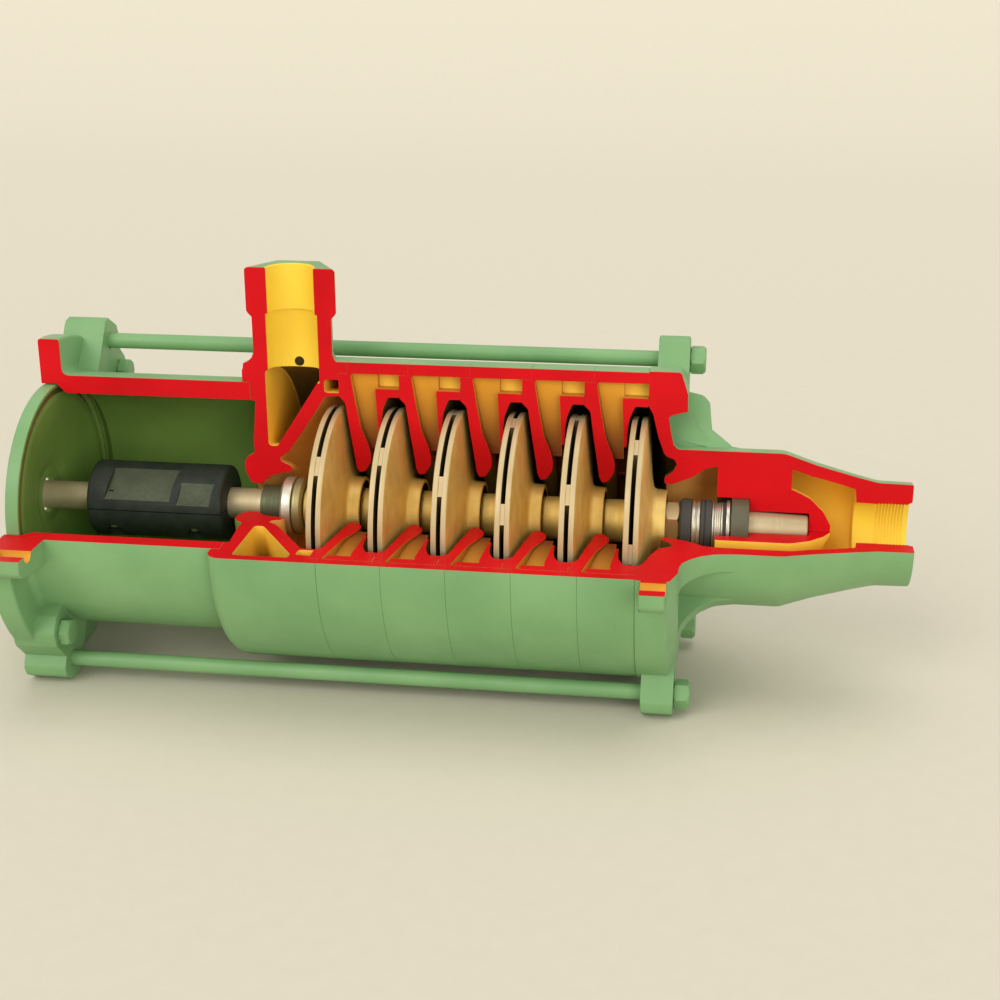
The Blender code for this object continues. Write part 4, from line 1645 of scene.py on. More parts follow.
@dataclass
class Diffusers:
    """The five diffusers: back plate, hook, crossover blocks and return vanes.

    Attributes:
        count: How many diffusers there are.
        pitch: The length of one stage.
        hook: The hook's right end in its stage.
        last_end: Where the last diffuser ends.
        outer: How far vanes and crossover blocks reach out.
        inner: Where the vanes start.
        fold: How many vanes go into a whole turn.
        lead: The angle of the first vane's inner end.
        sweep: How far a vane turns on its way out, in degrees.
    """

    count: int = STAGES
    pitch: float = STAGE_PITCH
    hook: float = 36.8
    last_end: float = RINGS_END
    outer: float = SPIGOT_RADIUS
    inner: float = 47.0
    fold: int = 7
    lead: float = -176.9
    sweep: float = 6.0

    def plate(self, start: float, end: float) -> Solid:
        """Turn the back plate and its hook.

        Args:
            start: Where the stage starts.
            end: The hook's end in the stage.

        Returns:
            The plate before its quarter is cut.
        """
        # The plate's side towards the next impeller gets the chamber paint: painted shade.
        painted, dark = Zone.PASSAGE, Zone.CHAMBER
        knots = [
            Knot(18.8, 95.4, painted, 1.6),
            Knot(20.6, 58.0, dark, 0.6),
            Knot(22.5, 57.6, dark, 0.6),
            Knot(23.0, 70.0, dark, 6.0),
            Knot(24.2, 79.0, dark, 6.0),
            Knot(26.5, 85.0, dark, 4.0),
            Knot(28.5, 89.0, dark, 2.0),
            Knot(end, 89.0, dark, 0.8),
            Knot(end, 95.4, painted, 0.8),
        ]
        return Solid.turned("plate", shifted(knots, start))

    def within(
        self, outline: Sequence[Point2], path: Sequence[Point2], start: float, zone: Zone
    ) -> Solid:
        """Make a vane or block of an outline, as far as it lies within a turned path.

        Args:
            outline: Its (y, z) outline.
            path: The (x, radius) outline that it keeps within, in the stage's own x.
            start: Where the stage starts.
            zone: The zone of its faces.

        Returns:
            The solid.
        """
        solid = Solid.prism("vane", outline, (start - 1.0, start + 39.0), zone)
        knots = [Knot(x + start, radius, zone) for x, radius in path]
        return solid.meet(Solid.turned("path", knots))

    def block(self, start: float, end: float, turn: float) -> Solid:
        """Make one crossover block between the plate's rim and the ring's wall.

        Args:
            start: Where the stage starts.
            end: The hook's end in the stage.
            turn: How far round the shaft the block stands.

        Returns:
            The block.
        """
        path = [
            (3.0, 98.5),
            (19.5, 98.5),
            (19.5, 94.0),
            (end - 0.2, 94.0),
            (end - 0.2, self.outer),
            (3.0, self.outer),
        ]
        outline = vane_outline(90.0, self.outer + 3.0, turn - 180.0, 0.0, (7.0, 6.0), 4)
        return self.within(outline, path, start, Zone.BAND)

    def vane(self, start: float, turn: float) -> Solid:
        """Make one return vane between the ring's diaphragm and the plate.

        Args:
            start: Where the stage starts.
            turn: How far round the shaft the vane stands.

        Returns:
            The vane.
        """
        path = [
            (0.2, self.outer - 0.1),
            (3.6, 84.0),
            (7.4, 64.0),
            (12.4, 51.8),
            (14.0, 46.0),
            (20.2, 46.0),
            (19.9, 95.0),
            (19.9, self.outer - 0.1),
        ]
        outline = vane_outline(
            self.inner, self.outer - 0.2, self.lead + turn, self.sweep, (2.4, 1.4), 10
        )
        return self.within(rounded_outline(outline, 0.7), path, start, Zone.PASSAGE)

    def build(self, pump: Assembly) -> None:
        """Make the diffusers and hand them over.

        Args:
            pump: The assembly.
        """
        for number in range(self.count):
            start = number * self.pitch
            end = self.hook if number < self.count - 1 else self.last_end - start
            diffuser = self.plate(start, end)
            for index in range(self.fold - 1):
                turn = 360.0 * index / self.fold
                diffuser.unite(self.block(start, end, turn))
                diffuser.unite(self.vane(start, turn))
            diffuser.cut_quarter()
            name = f"diffuser_{number + 1}"
            pump.deliver(diffuser, f"{name}_casting", Body.CASING, [name])


@dataclass
class SuctionCasing:
    """The suction casing: flange, bell, neck, bearing bulb on its ribs, and the threaded port.

    Attributes:
        left: The flange's left face.
        lug_span: Where the lugs start and end.
        cut_lug_face: Where the lug in the level cut ends.
        right: The port's face.
        neck: The neck's outer radius.
        port: The port's outer radius.
        thread_bore: The thread's inner radius.
        thread_depth: How deep the thread is cut.
        thread_pitch: The distance between its turns.
        thread_start: Where it starts.
        pockets: The angles of the pockets' middles.
        pocket_reach: Half the angle that a pocket takes up.
        bolt_hole: The radius of the tie bolts' holes.
        rib_span: Where the bulb's ribs start and end.
        bulb_radius: The bulb's outer radius.
        bush_seat: Where the bearing bush's seat starts and ends.
        gusset_angle: The angle of the lug that the gusset stands under.
        gusset_half: Half the gusset's width.
        lugs: The tie bolt lugs.
    """

    left: float = 222.0
    lug_span: Point2 = (225.8, 249.3)
    cut_lug_face: float = 243.5
    right: float = 415.0
    neck: float = 57.8
    port: float = 38.0
    thread_bore: float = 22.3
    thread_depth: float = 0.8
    thread_pitch: float = 2.309
    thread_start: float = 389.0
    pockets: tuple[float, ...] = (30.0, 90.0, 210.0, 270.0, 330.0)
    pocket_reach: float = 16.0
    bolt_hole: float = 6.75
    rib_span: Point2 = (274.0, 328.0)
    bulb_radius: float = 31.0
    bush_seat: Point2 = (284.8, 298.3)
    gusset_angle: float = 60.0
    gusset_half: float = 15.0
    lugs: TieBoltLugs = field(default_factory=TieBoltLugs)

    def thread(self) -> list[Knot]:
        """Return the outline of the port's thread, from its mouth inwards.

        Returns:
            The outline's corners.
        """
        knots = []
        crest, root = self.thread_bore, self.thread_bore + self.thread_depth
        x = self.right - 3.0
        while x > self.thread_start:
            knots.append(Knot(x, root, Zone.NOZZLE))
            knots.append(Knot(x - 0.5 * self.thread_pitch, crest, Zone.NOZZLE))
            x -= self.thread_pitch
        return knots

    def bell(self) -> Solid:
        """Turn the casing's wall from the flange to the port.

        Returns:
            The wall.
        """
        dark, band, hub = Zone.CHAMBER, Zone.BAND, Zone.HUB
        # The passage gets the lit yellow, the recess by the flange the hub paint and the flange's hollow
        # the chamber paint: painted light and shade.
        knots = [
            Knot(self.left, 90.0),
            Knot(self.left, 116.0, soft=0.6),
            Knot(245.0, 116.0, soft=3.0),
            Knot(248.0, 107.0, soft=6.0),
            Knot(250.4, 99.5, soft=3.0),
            Knot(250.7, 88.0, soft=6.0),
            Knot(252.5, 80.0, soft=8.0),
            Knot(257.0, 73.0, soft=12.0),
            Knot(264.5, 65.5, soft=14.0),
            Knot(275.0, 60.0, soft=20.0),
            Knot(290.0, self.neck, soft=30.0),
            Knot(322.0, self.neck, soft=16.0),
            Knot(345.0, 50.0, soft=30.0),
            Knot(375.0, 42.0, soft=30.0),
            Knot(390.0, 38.5, soft=20.0),
            Knot(self.right, self.port, soft=1.4),
            Knot(self.right, self.thread_bore + 2.4, Zone.NOZZLE),
            *self.thread(),
            Knot(375.0, 22.8, band, 0.5),
            Knot(374.0, 33.0, band, 2.0),
            Knot(360.0, 37.0, band, 10.0),
            Knot(342.0, 41.5, band, 12.0),
            Knot(328.0, 46.0, band, 12.0),
            Knot(275.0, 46.0, hub, 12.0),
            Knot(265.5, 44.0, hub, 8.0),
            Knot(255.0, 36.5, hub, 14.0),
            Knot(241.0, 30.7, hub, 5.0),
            Knot(235.2, 30.9, dark, 1.6),
            Knot(235.2, 36.0, dark, 2.0),
            Knot(241.0, 40.0, dark, 3.0),
            Knot(244.0, 46.0, dark, 2.0),
            Knot(242.0, 49.8, dark, 1.6),
            Knot(235.0, 52.5, dark, 5.0),
            Knot(230.0, 66.0, dark, 10.0),
            Knot(225.5, 84.0, dark, 3.0),
        ]
        return Solid.turned("bell", knots)

    def pocket(self, middle: float) -> Solid:
        """Make the cutter for the pocket behind the flange between two lugs.

        Args:
            middle: The angle of its middle.

        Returns:
            The cutter.
        """
        knots = [
            Knot(236.8, 82.8, soft=3.0),
            Knot(239.0, 70.5, soft=6.0),
            Knot(241.2, 61.0, soft=3.0),
            Knot(244.6, self.neck + 0.02, soft=3.0),
            Knot(296.0, self.neck + 0.02),
            Knot(296.0, 86.8),
            Knot(250.9, 86.8),
        ]
        low, high = middle - self.pocket_reach, middle + self.pocket_reach
        corners = [polar(40.0, low), polar(160.0, low), polar(160.0, high), polar(40.0, high)]
        cutter = Solid.turned("pocket", knots)
        return cutter.meet(Solid.prism("sector", corners, (220.0, 310.0)))

    def bulb(self) -> Solid:
        """Make the bulb that carries the bearing bush, with its three ribs.

        Returns:
            The bulb and its ribs.
        """
        band, cut = Zone.BAND, Zone.CUT
        left, right = self.rib_span
        seat_left, seat_right = self.bush_seat
        knots = [
            Knot(left, self.bulb_radius, band, 1.5),
            Knot(right, self.bulb_radius, band, 14.0),
            Knot(342.0, 24.0, band, 10.0),
            Knot(352.0, 14.0, band, 8.0),
            Knot(357.5, 4.0, band, 3.0),
            Knot(357.5, 0.0, band),
            Knot(341.8, 0.0, cut),
            Knot(341.8, 12.5, cut, 0.8),
            Knot(seat_right, 12.5, cut),
            Knot(seat_right, 21.8, cut),
            Knot(seat_left, 21.8, cut),
            Knot(seat_left, 22.2, Zone.CHAMBER),
            Knot(left, 22.2, band, 0.8),
        ]
        bulb = Solid.turned("bulb", knots)
        for angle in (90.0, 210.0, 330.0):
            corners = ((28.5, -8.0), (51.0, -8.0), (51.0, 8.0), (28.5, 8.0))
            outline = spoke_outline(angle, corners)
            bulb.unite(Solid.prism("rib", outline, self.rib_span, Zone.PASSAGE, 1.5))
        return bulb

    def gusset(self) -> Solid:
        """Make the gusset that stands on the bell under the rear upper lug.

        Returns:
            The gusset.
        """
        profile = [
            (245.0, 97.0),
            (252.0, 97.0),
            (261.0, 95.0),
            (266.0, 89.5),
            (267.0, 68.5),
            (284.0, 57.0),
            (284.0, 52.0),
            (245.0, 60.0),
        ]
        soft = rounded_outline(profile, 2.5)
        rings = [
            [(x, *on_spoke(self.gusset_angle, radius, side)) for x, radius in soft]
            for side in (-self.gusset_half, self.gusset_half)
        ]
        builder = bmesh.new()
        caps = wrapped(builder, rings)
        soften_rims(builder, caps, 1.2, 2)
        return Solid.from_builder("gusset", builder)

    def build(self, pump: Assembly) -> None:
        """Make the suction casing and hand it over.

        Args:
            pump: The assembly.
        """
        casing = self.bell()
        for middle in self.pockets:
            casing.cut(self.pocket(middle))
        casing.unite(self.bulb())
        self.lugs.add_to(casing, 100.0, self.lug_span, self.cut_lug_face)
        casing.unite(self.gusset())
        self.lugs.drill(casing, self.bolt_hole, (200.0, 300.0))
        casing.cut_quarter().cut_floor()
        pump.deliver(casing, "suction_casting", Body.CASING, ["suction_casing"])


@dataclass
class Bolts:
    """The long tie bolts and the motor flange's bolts, repeated round the shaft.

    Attributes:
        tie_circle: The radius of the tie bolts' circle.
        tie_radius: The tie bolts' radius.
        tie_span: Where they start and end.
        tie_face: Where their heads sit.
        tie_head: Their heads' height and corner radius.
        motor_circle: The radius of the motor bolts' circle.
        motor_radius: Their radius.
        motor_left: Where their shanks start.
        motor_face: Where their heads sit.
        motor_head: Their heads' height and corner radius.
        cut_away: The angles between which no bolt stands.
    """

    tie_circle: float = TIE_CIRCLE
    tie_radius: float = 6.0
    tie_span: Point2 = (-232.0, 256.0)
    tie_face: float = 249.5
    tie_head: Point2 = (11.7, 11.0)
    motor_circle: float = MOTOR_CIRCLE
    motor_radius: float = 6.0
    motor_left: float = -242.0
    motor_face: float = -208.8
    motor_head: Point2 = (8.2, 10.5)
    cut_away: Point2 = (100.0, 200.0)

    def bolt(self, circle: float, radius: float, span: Point2, head: Point2, size: float) -> Solid:
        """Make one bolt at angle 0, with a chamfered hexagon head and a washer face.

        Args:
            circle: The radius of the bolt's circle.
            radius: The bolt's radius.
            span: Where its shank starts and ends.
            head: Where its head starts and ends.
            size: The corner radius of the hexagon.

        Returns:
            The bolt.
        """
        low, high = head
        hexagon = Solid.prism("hexagon", ngon(6, size, (0.0, 0.0), 0.0), head)
        knots = [
            Knot(low, 0.0),
            Knot(low, size * 0.86),
            Knot(low + 0.8, size * 0.88),
            Knot(low + 0.9, size * 1.02),
            Knot(high - 2.6, size * 1.02),
            Knot(high, size * 0.8, soft=0.6),
            Knot(high, 0.0),
        ]
        hexagon.meet(Solid.turned("dome", knots, ROD_STEPS))
        shank = Solid.rod("shank", radius, span, (0.0, 0.0))
        bolt = hexagon.unite(shank)
        bolt.item.data.transform(Matrix.Translation((0.0, circle, 0.0)))
        return bolt

    def build(self, pump: Assembly) -> None:
        """Make both sets of bolts and hand them over.

        Args:
            pump: The assembly.
        """
        repeater = round_the_shaft()
        gap = {"Gap Start": self.cut_away[0], "Gap End": self.cut_away[1]}
        height, corner = self.tie_head
        head = (self.tie_face, self.tie_face + height)
        tie = self.bolt(self.tie_circle, self.tie_radius, self.tie_span, head, corner)
        repeater.apply(tie, GREEN_OUTSIDE, {"Count": 6, "First Angle": 0.0, **gap})
        nodes = [f"tie_bolt_{number}" for number in range(1, 5)]
        pump.deliver(tie, "tie_bolts", Body.CASING, nodes, GREEN_OUTSIDE)
        height, corner = self.motor_head
        head = (self.motor_face, self.motor_face + height)
        span = (self.motor_left, self.motor_face + 2.0)
        motor = self.bolt(self.motor_circle, self.motor_radius, span, head, corner)
        repeater.apply(motor, GREEN_OUTSIDE, {"Count": 4, "First Angle": 45.0, **gap})
        nodes = [f"motor_bolt_{number}" for number in range(1, 4)]
        pump.deliver(motor, "motor_bolts", Body.CASING, nodes, GREEN_OUTSIDE)


@dataclass
class Impellers:
    """The six closed impellers on the shaft.

    Attributes:
        first: Where the first impeller's back plate starts.
        pitch: The distance between two impellers.
        radius: The rim's radius.
        bore: The hub's bore.
        hub: The hub's radius.
        hub_span: Where the hub starts and ends, from the back plate's face.
        vanes: How many vanes each has.
        sweep: How far a vane turns on its way out, in degrees.
        turns: Where the first vane of each impeller meets the rim.
    """

    first: float = -18.1
    pitch: float = 45.7
    radius: float = 78.5
    bore: float = SHAFT_BORE
    hub: float = 16.0
    hub_span: Point2 = (-18.4, 27.0)
    vanes: int = 6
    sweep: float = -50.0
    turns: tuple[float, ...] = (17.9, 10.5, 26.2, 39.4, 27.6, 57.3)

    def back_plate(self) -> Solid:
        """Turn the back plate and the hub.

        Returns:
            The back plate.
        """
        dark, rim = Zone.CHAMBER, Zone.BAND
        left, right = self.hub_span
        knots = [
            Knot(left, self.bore),
            Knot(left, self.hub, soft=1.0),
            Knot(-1.5, self.hub, soft=3.0),
            Knot(0.0, 22.0, soft=2.0),
            Knot(0.0, self.radius, rim, 0.7),
            Knot(4.1, self.radius, dark, 0.4),
            Knot(6.0, 40.0, dark, 20.0),
            Knot(14.0, 19.0, dark, 10.0),
            Knot(right, self.hub, soft=1.0),
            Knot(right, self.bore),
        ]
        return Solid.turned("back_plate", knots)

    def front_shroud(self) -> Solid:
        """Turn the front shroud, which flares from the suction eye to the rim.

        Returns:
            The front shroud.
        """
        dark, rim = Zone.CHAMBER, Zone.BAND
        knots = [
            Knot(7.1, self.radius, rim, 0.4),
            Knot(11.0, self.radius, soft=0.9),
            Knot(12.4, 64.0, soft=14.0),
            Knot(13.8, 48.0, soft=16.0),
            Knot(15.4, 35.0, soft=8.0),
            Knot(17.2, 25.4, soft=3.6),
            Knot(self.hub_span[1], 24.6, soft=0.7),
            Knot(self.hub_span[1], 21.8, dark, 0.7),
            Knot(17.6, 22.2, dark, 4.0),
            Knot(12.6, 33.0, dark, 10.0),
            Knot(10.4, 47.0, dark, 14.0),
        ]
        return Solid.turned("front_shroud", knots)

    def vane_ring(self, repeater: Repeater) -> Solid:
        """Make the vanes between the plates.

        Args:
            repeater: The tree that repeats a shape round the shaft.

        Returns:
            All the vanes as one solid.
        """
        blade = vane_outline(30.0, self.radius - 0.15, -self.sweep, self.sweep, (3.5, 5.5), 16)
        vane = Solid.prism("vane", blade, (1.0, 30.0))
        path = [
            Knot(2.5, self.radius),
            Knot(8.5, self.radius),
            Knot(12.0, 47.0),
            Knot(13.8, 33.0),
            Knot(14.8, 29.0),
            Knot(7.0, 29.0),
            Knot(5.0, 40.0),
        ]
        vane.meet(Solid.turned("path", path, FINE_STEPS))
        values = {"Count": self.vanes, "First Angle": 0.0, "Gap Start": 0.0, "Gap End": -1.0}
        vanes = repeater.apply(vane, BRONZE, values).marked(Zone.CHAMBER)
        mesh = vanes.item.data
        for face in mesh.polygons:
            if min(mesh.vertices[index].co.yz.length for index in face.vertices) > self.radius - 1.0:
                face.material_index = Zone.BAND
        return vanes

    def build(self, pump: Assembly) -> None:
        """Make the impellers and hand them over.

        Args:
            pump: The assembly.
        """
        pattern = self.back_plate().unite(self.front_shroud())
        pattern.unite(self.vane_ring(round_the_shaft()))
        for index, turn in enumerate(self.turns):
            mesh = pattern.item.data.copy()
            mesh.transform(Matrix.Rotation(math.radians(turn), 4, "X"))
            mesh.transform(Matrix.Translation((self.first + self.pitch * index, 0.0, 0.0)))
            impeller = Solid(linked("impeller", mesh))
            name = f"impeller_{index + 1}"
            # The impellers' inner faces carry painted shade; their rims get the paler bronze.
            marks: dict[Zone, Finish] = {Zone.CHAMBER: IMPELLER_SHADE, Zone.BAND: RIM_BRONZE}
            pump.deliver(
                impeller, f"{name}_casting", Body.ROTOR, [name], BRONZE, marks
            )
        bpy.data.objects.remove(pattern.item, do_unlink=True)


@dataclass
class ShaftTrain:
    """The pump's shaft, the motor's shaft and the rings, nut and seals on them.

    Attributes:
        radius: The pump shaft's radius.
        left: Its left end.
        right: Its right end.
        bore: The bore of what sits on it.
        motor_radius: The motor shaft's radius.
        motor_left: The motor shaft's left end.
        motor_right: Its right end.
        nut_span: Where the lock nut starts and ends.
        nut_corner: Its hexagon's corner radius.
        bush_span: Where the bearing bush starts and ends.
        bush_radii: Its inner and outer radius.
    """

    radius: float = 12.0
    left: float = -148.0
    right: float = 341.0
    bore: float = SHAFT_BORE
    motor_radius: float = 11.0
    motor_left: float = -252.0
    motor_right: float = -149.0
    nut_span: Point2 = (237.5, 247.0)
    nut_corner: float = 16.5
    bush_span: Point2 = (285.1, 298.0)
    bush_radii: Point2 = (12.35, 21.5)

    def shafts(self, pump: Assembly) -> None:
        """Turn both shafts and hand them over.

        Args:
            pump: The assembly.
        """
        knots = [
            Knot(self.left, 0.0),
            Knot(self.left, self.radius, soft=1.0),
            Knot(298.5, self.radius, soft=0.4),
            Knot(self.right, self.radius - 1.6, soft=1.8),
            Knot(self.right, 0.0),
        ]
        shaft = Solid.turned("shaft", knots, FINE_STEPS)
        pump.deliver(shaft, "pump_shaft_bar", Body.ROTOR, ["pump_shaft"], SHAFT_STEEL)
        knots = [
            Knot(self.motor_left, 0.0),
            Knot(self.motor_left, self.motor_radius, soft=0.8),
            Knot(self.motor_right, self.motor_radius, soft=1.0),
            Knot(self.motor_right, 0.0),
        ]
        shaft = Solid.turned("shaft", knots, FINE_STEPS)
        nodes = ["motor_shaft"]
        pump.deliver(shaft, "motor_shaft_bar", Body.ROTOR, nodes, SHAFT_STEEL)

    def ring(
        self, pump: Assembly, node: str, knots: Sequence[Point2], slot: Slot, finish: Finish
    ) -> None:
        """Turn one ring on the shaft and hand it over.

        Args:
            pump: The assembly.
            node: The CAD node that the ring stands for.
            knots: The (x, radius) points of its outside, from left to right.
            slot: The record's material slot; not used.
            finish: Its finish.
        """
        outline = [Knot(x, radius, soft=0.7) for x, radius in knots]
        outline = [Knot(knots[0][0], self.bore), *outline, Knot(knots[-1][0], self.bore)]
        solid = Solid.turned(node, outline, FINE_STEPS)
        pump.deliver(solid, f"{node}_turned", Body.ROTOR, [node], finish)

    def nut(self, pump: Assembly) -> None:
        """Make the lock nut and hand it over.

        Args:
            pump: The assembly.
        """
        left, right = self.nut_span
        nut = Solid.prism("nut", ngon(6, self.nut_corner, (0.0, 0.0), 30.0), self.nut_span)
        dome = [
            Knot(left, 0.0),
            Knot(left, 14.6),
            Knot(left + 1.4, 17.0),
            Knot(right - 1.4, 17.0),
            Knot(right, 14.6),
            Knot(right, 0.0),
        ]
        nut.meet(Solid.turned("dome", dome, FINE_STEPS))
        nut.cut(Solid.rod("bore", self.bore, (230.0, 250.0), (0.0, 0.0)))
        pump.deliver(nut, "lock_nut_turned", Body.ROTOR, ["lock_nut"], BRASS)

    def spring_collar(self, pump: Assembly) -> None:
        """Make the seal's collar with the spring wound round it, and hand it over.

        Args:
            pump: The assembly.
        """
        knots = [
            Knot(271.3, self.bore),
            Knot(271.3, 17.4, soft=0.4),
            Knot(272.6, 17.4, soft=0.4),
            Knot(272.6, 15.4),
            Knot(277.9, 15.4),
            Knot(277.9, 17.4, soft=0.4),
            Knot(279.2, 17.4, soft=0.4),
            Knot(279.2, self.bore),
        ]
        collar = Solid.turned("collar", knots, FINE_STEPS)
        values = {"Turns": 2.6, "Radius": 16.3, "Length": 3.9, "Wire": 0.85, "Start": 273.3}
        wound_spring().apply(collar, STEEL, values)
        node = "seal_spring_collar"
        pump.deliver(collar, f"{node}_turned", Body.ROTOR, [node], STEEL)

    def seal_ring(self, pump: Assembly) -> None:
        """Make the last ring of the seal, rubber with a bright rim, and hand it over.

        Args:
            pump: The assembly.
        """
        bright = Zone.BAND
        knots = [
            Knot(279.5, self.bore),
            Knot(279.5, 17.6, soft=0.4),
            Knot(281.6, 17.6),
            Knot(281.6, 19.4, bright, 0.4),
            Knot(284.2, 19.4, bright, 0.4),
            Knot(284.2, self.bore),
        ]
        solid = Solid.turned("seal_ring", knots, FINE_STEPS)
        marks: dict[Zone, Finish] = {bright: STEEL}
        pump.deliver(
            solid, "seal_ring_turned", Body.ROTOR, ["seal_ring"], RUBBER, marks
        )

    def build(self, pump: Assembly) -> None:
        """Make everything on the shaft line but impellers and coupling.

        Args:
            pump: The assembly.
        """
        self.shafts(pump)
        sleeve = [(-70.0, 15.0), (-54.3, 15.0)]
        self.ring(pump, "seal_sleeve", sleeve, Slot.IRON, GREY_STEEL)
        face = [(-54.0, 20.0), (-51.8, 22.4), (-45.0, 22.4)]
        self.ring(pump, "seal_face_ring", face, Slot.STEEL, STEEL)
        seat = [(-44.7, 20.4), (-43.6, 21.8), (-38.4, 21.8), (-37.2, 20.0)]
        self.ring(pump, "seal_seat_ring", seat, Slot.STEEL, WARM_STEEL)
        self.nut(pump)
        spacer = [(247.3, 17.0), (249.0, 19.0), (256.0, 19.0)]
        self.ring(pump, "spacer_ring", spacer, Slot.RUBBER, RUBBER)
        retaining = [(256.3, 17.0), (259.0, 17.0), (259.5, 15.6), (260.4, 17.0), (262.7, 17.0)]
        self.ring(pump, "retaining_ring", retaining, Slot.STEEL, STEEL)
        bellows = [(263.0, 18.6), (265.4, 19.0), (266.0, 17.6), (266.8, 19.0), (271.0, 18.4)]
        self.ring(pump, "seal_bellows", bellows, Slot.RUBBER, RUBBER)
        self.spring_collar(pump)
        self.seal_ring(pump)
        left, right = self.bush_span
        inner, outer = self.bush_radii
        bush = [
            Knot(left, inner),
            Knot(left, outer, soft=0.8),
            Knot(right, outer, soft=0.8),
            Knot(right, inner),
        ]
        solid = Solid.turned("bush", bush, FINE_STEPS)
        pump.deliver(
            solid, "bearing_bush_turned", Body.CASING, ["bearing_bush"], BUSH_GREY
        )


@dataclass
class Coupling:
    """The clamp coupling: two half shells held by four screws.

    Attributes:
        left: Its left end.
        right: Its right end.
        radius: Its radius.
        split: Half the gap between its halves.
        bore: The radius of the bore for the pump's shaft.
        motor_bore: The radius of the bore for the motor's shaft.
        meeting: Where the pump's shaft ends in it.
        stations: Where the screws stand along the shaft.
        offset: How far they stand from the shaft.
        screw_hole: The radius of the holes for their shanks.
        head_hole: The radius of the holes for their heads.
        head_seat: The height that their heads sit at.
        flats: The span, angle, depth and lean of each flat on the upper half.
    """

    left: float = -203.0
    right: float = -96.5
    radius: float = 29.0
    split: float = 0.4
    bore: float = SHAFT_BORE
    motor_bore: float = 11.3
    meeting: float = -149.0
    stations: Point2 = (-184.0, -120.0)
    offset: float = 20.0
    screw_hole: float = 3.3
    head_hole: float = 6.0
    head_seat: float = -9.0
    flats: tuple[tuple[Point2, float, float, float], ...] = (
        ((-126.4, -100.6), 150.5, 1.35, -8.0),
        ((-182.5, -131.0), 136.0, 3.2, -8.0),
    )

    def half(self, upper: bool) -> Solid:
        """Make one half shell.

        Args:
            upper: Whether it is the upper half.

        Returns:
            The half shell.
        """
        knots = [
            Knot(self.left, 0.0),
            Knot(self.left, self.radius, soft=2.6),
            Knot(self.right, self.radius, soft=3.4),
            Knot(self.right, 0.0),
        ]
        half = Solid.turned("half", knots)
        reach = 60.0
        low, high = (-reach, self.split) if upper else (-self.split, reach)
        outline = [(-reach, low), (reach, low), (reach, high), (-reach, high)]
        half.cut(Solid.prism("other_half", outline, (-300.0, 0.0)))
        half.cut(Solid.rod("bore", self.bore, (self.meeting, 0.0), (0.0, 0.0)))
        half.cut(Solid.rod("bore", self.motor_bore, (-300.0, self.meeting + 0.5), (0.0, 0.0)))
        below, top = -40.0, 14.0 if upper else 40.0
        shank = [(below, self.screw_hole), (top, self.screw_hole)]
        head = [(below, self.head_hole), (self.head_seat, self.head_hole)]
        for x in self.stations:
            for y in (-self.offset, self.offset):
                half.cut(Solid.tower("shank", shank, (x, y), 24))
                if not upper:
                    half.cut(Solid.tower("pocket", head, (x, y), ROD_STEPS))
        return half

    def flat(self, span: Point2, angle: float, depth: float, lean: float) -> Solid:
        """Make the block that mills one flat on the upper half.

        Args:
            span: Where the flat starts and ends along the shaft.
            angle: The direction that it faces.
            depth: How deep it is cut.
            lean: How much farther it reaches at its top than at its foot.

        Returns:
            The block.
        """
        reach = self.radius - depth
        side, thickness = 26.0, 12.0
        low, high = span
        plan = ((-side, low), (-side, high), (side, high + lean), (side, low + lean))
        rings = [
            [(x, *on_spoke(angle, height, across)) for across, x in plan]
            for height in (reach, reach + thickness)
        ]
        builder = bmesh.new()
        wrapped(builder, rings)
        return Solid.from_builder("flat", builder, Zone.BAND)

    def screws(self, pump: Assembly) -> None:
        """Make the four socket screws and hand them over.

        Args:
            pump: The assembly.
        """
        head = [(-16.0, 4.2), (-15.4, 5.0), (-9.3, 5.0)]
        screw = Solid.tower("screw", head, (0.0, 0.0), 48)
        screw.unite(Solid.tower("shank", [(-12.0, 3.0), (13.0, 3.0)], (0.0, 0.0), 24))
        screw.cut(Solid.tower("socket", [(-20.0, 2.9), (-12.8, 2.9)], (0.0, 0.0), 6))
        values = {
            "Length": self.stations[1] - self.stations[0],
            "Width": 2.0 * self.offset,
            "Middle": 0.5 * sum(self.stations),
        }
        on_a_grid().apply(screw, GREY_STEEL, values)
        nodes = [f"coupling_screw_{number}" for number in range(1, 5)]
        pump.deliver(screw, "coupling_screws", Body.ROTOR, nodes, GREY_STEEL)

    def build(self, pump: Assembly) -> None:
        """Make the coupling and hand it over.

        Args:
            pump: The assembly.
        """
        upper = self.half(True)
        for flat in self.flats:
            upper.cut(self.flat(*flat))
        marks: dict[Zone, Finish] = {Zone.BAND: IRON}
        nodes = ["coupling_upper"]
        pump.deliver(
            upper, "coupling_upper_half", Body.ROTOR, nodes, DEEP_IRON, marks
        )
        lower = self.half(False)
        pump.deliver(
            lower, "coupling_lower_half", Body.ROTOR, ["coupling_lower"], DEEP_IRON
        )
        self.screws(pump)


@dataclass(frozen=True)
class SoftLight:
    """One wide, far light of the studio, which falls evenly on pump and floor.

    Attributes:
        name: The light's name.
        source: The direction that it comes from.
        spread: The angle that it takes up in the sky, in degrees.
        strength: Its strength in watts per square metre.
        colour: Its linear colour.
    """

    name: str
    source: tuple[float, float, float]
    spread: float
    strength: float
    colour: Colour = (1.0, 0.98, 0.94)

    def hang(self) -> None:
        """Put the light in the scene."""
        data = bpy.data.lights.new(self.name, "SUN")
        data.angle = math.radians(self.spread)
        data.energy = self.strength
        data.color = self.colour
        item = linked(self.name, data)
        item.location = self.source
        item.rotation_euler = (-Vector(self.source)).to_track_quat("-Z", "Y").to_euler()


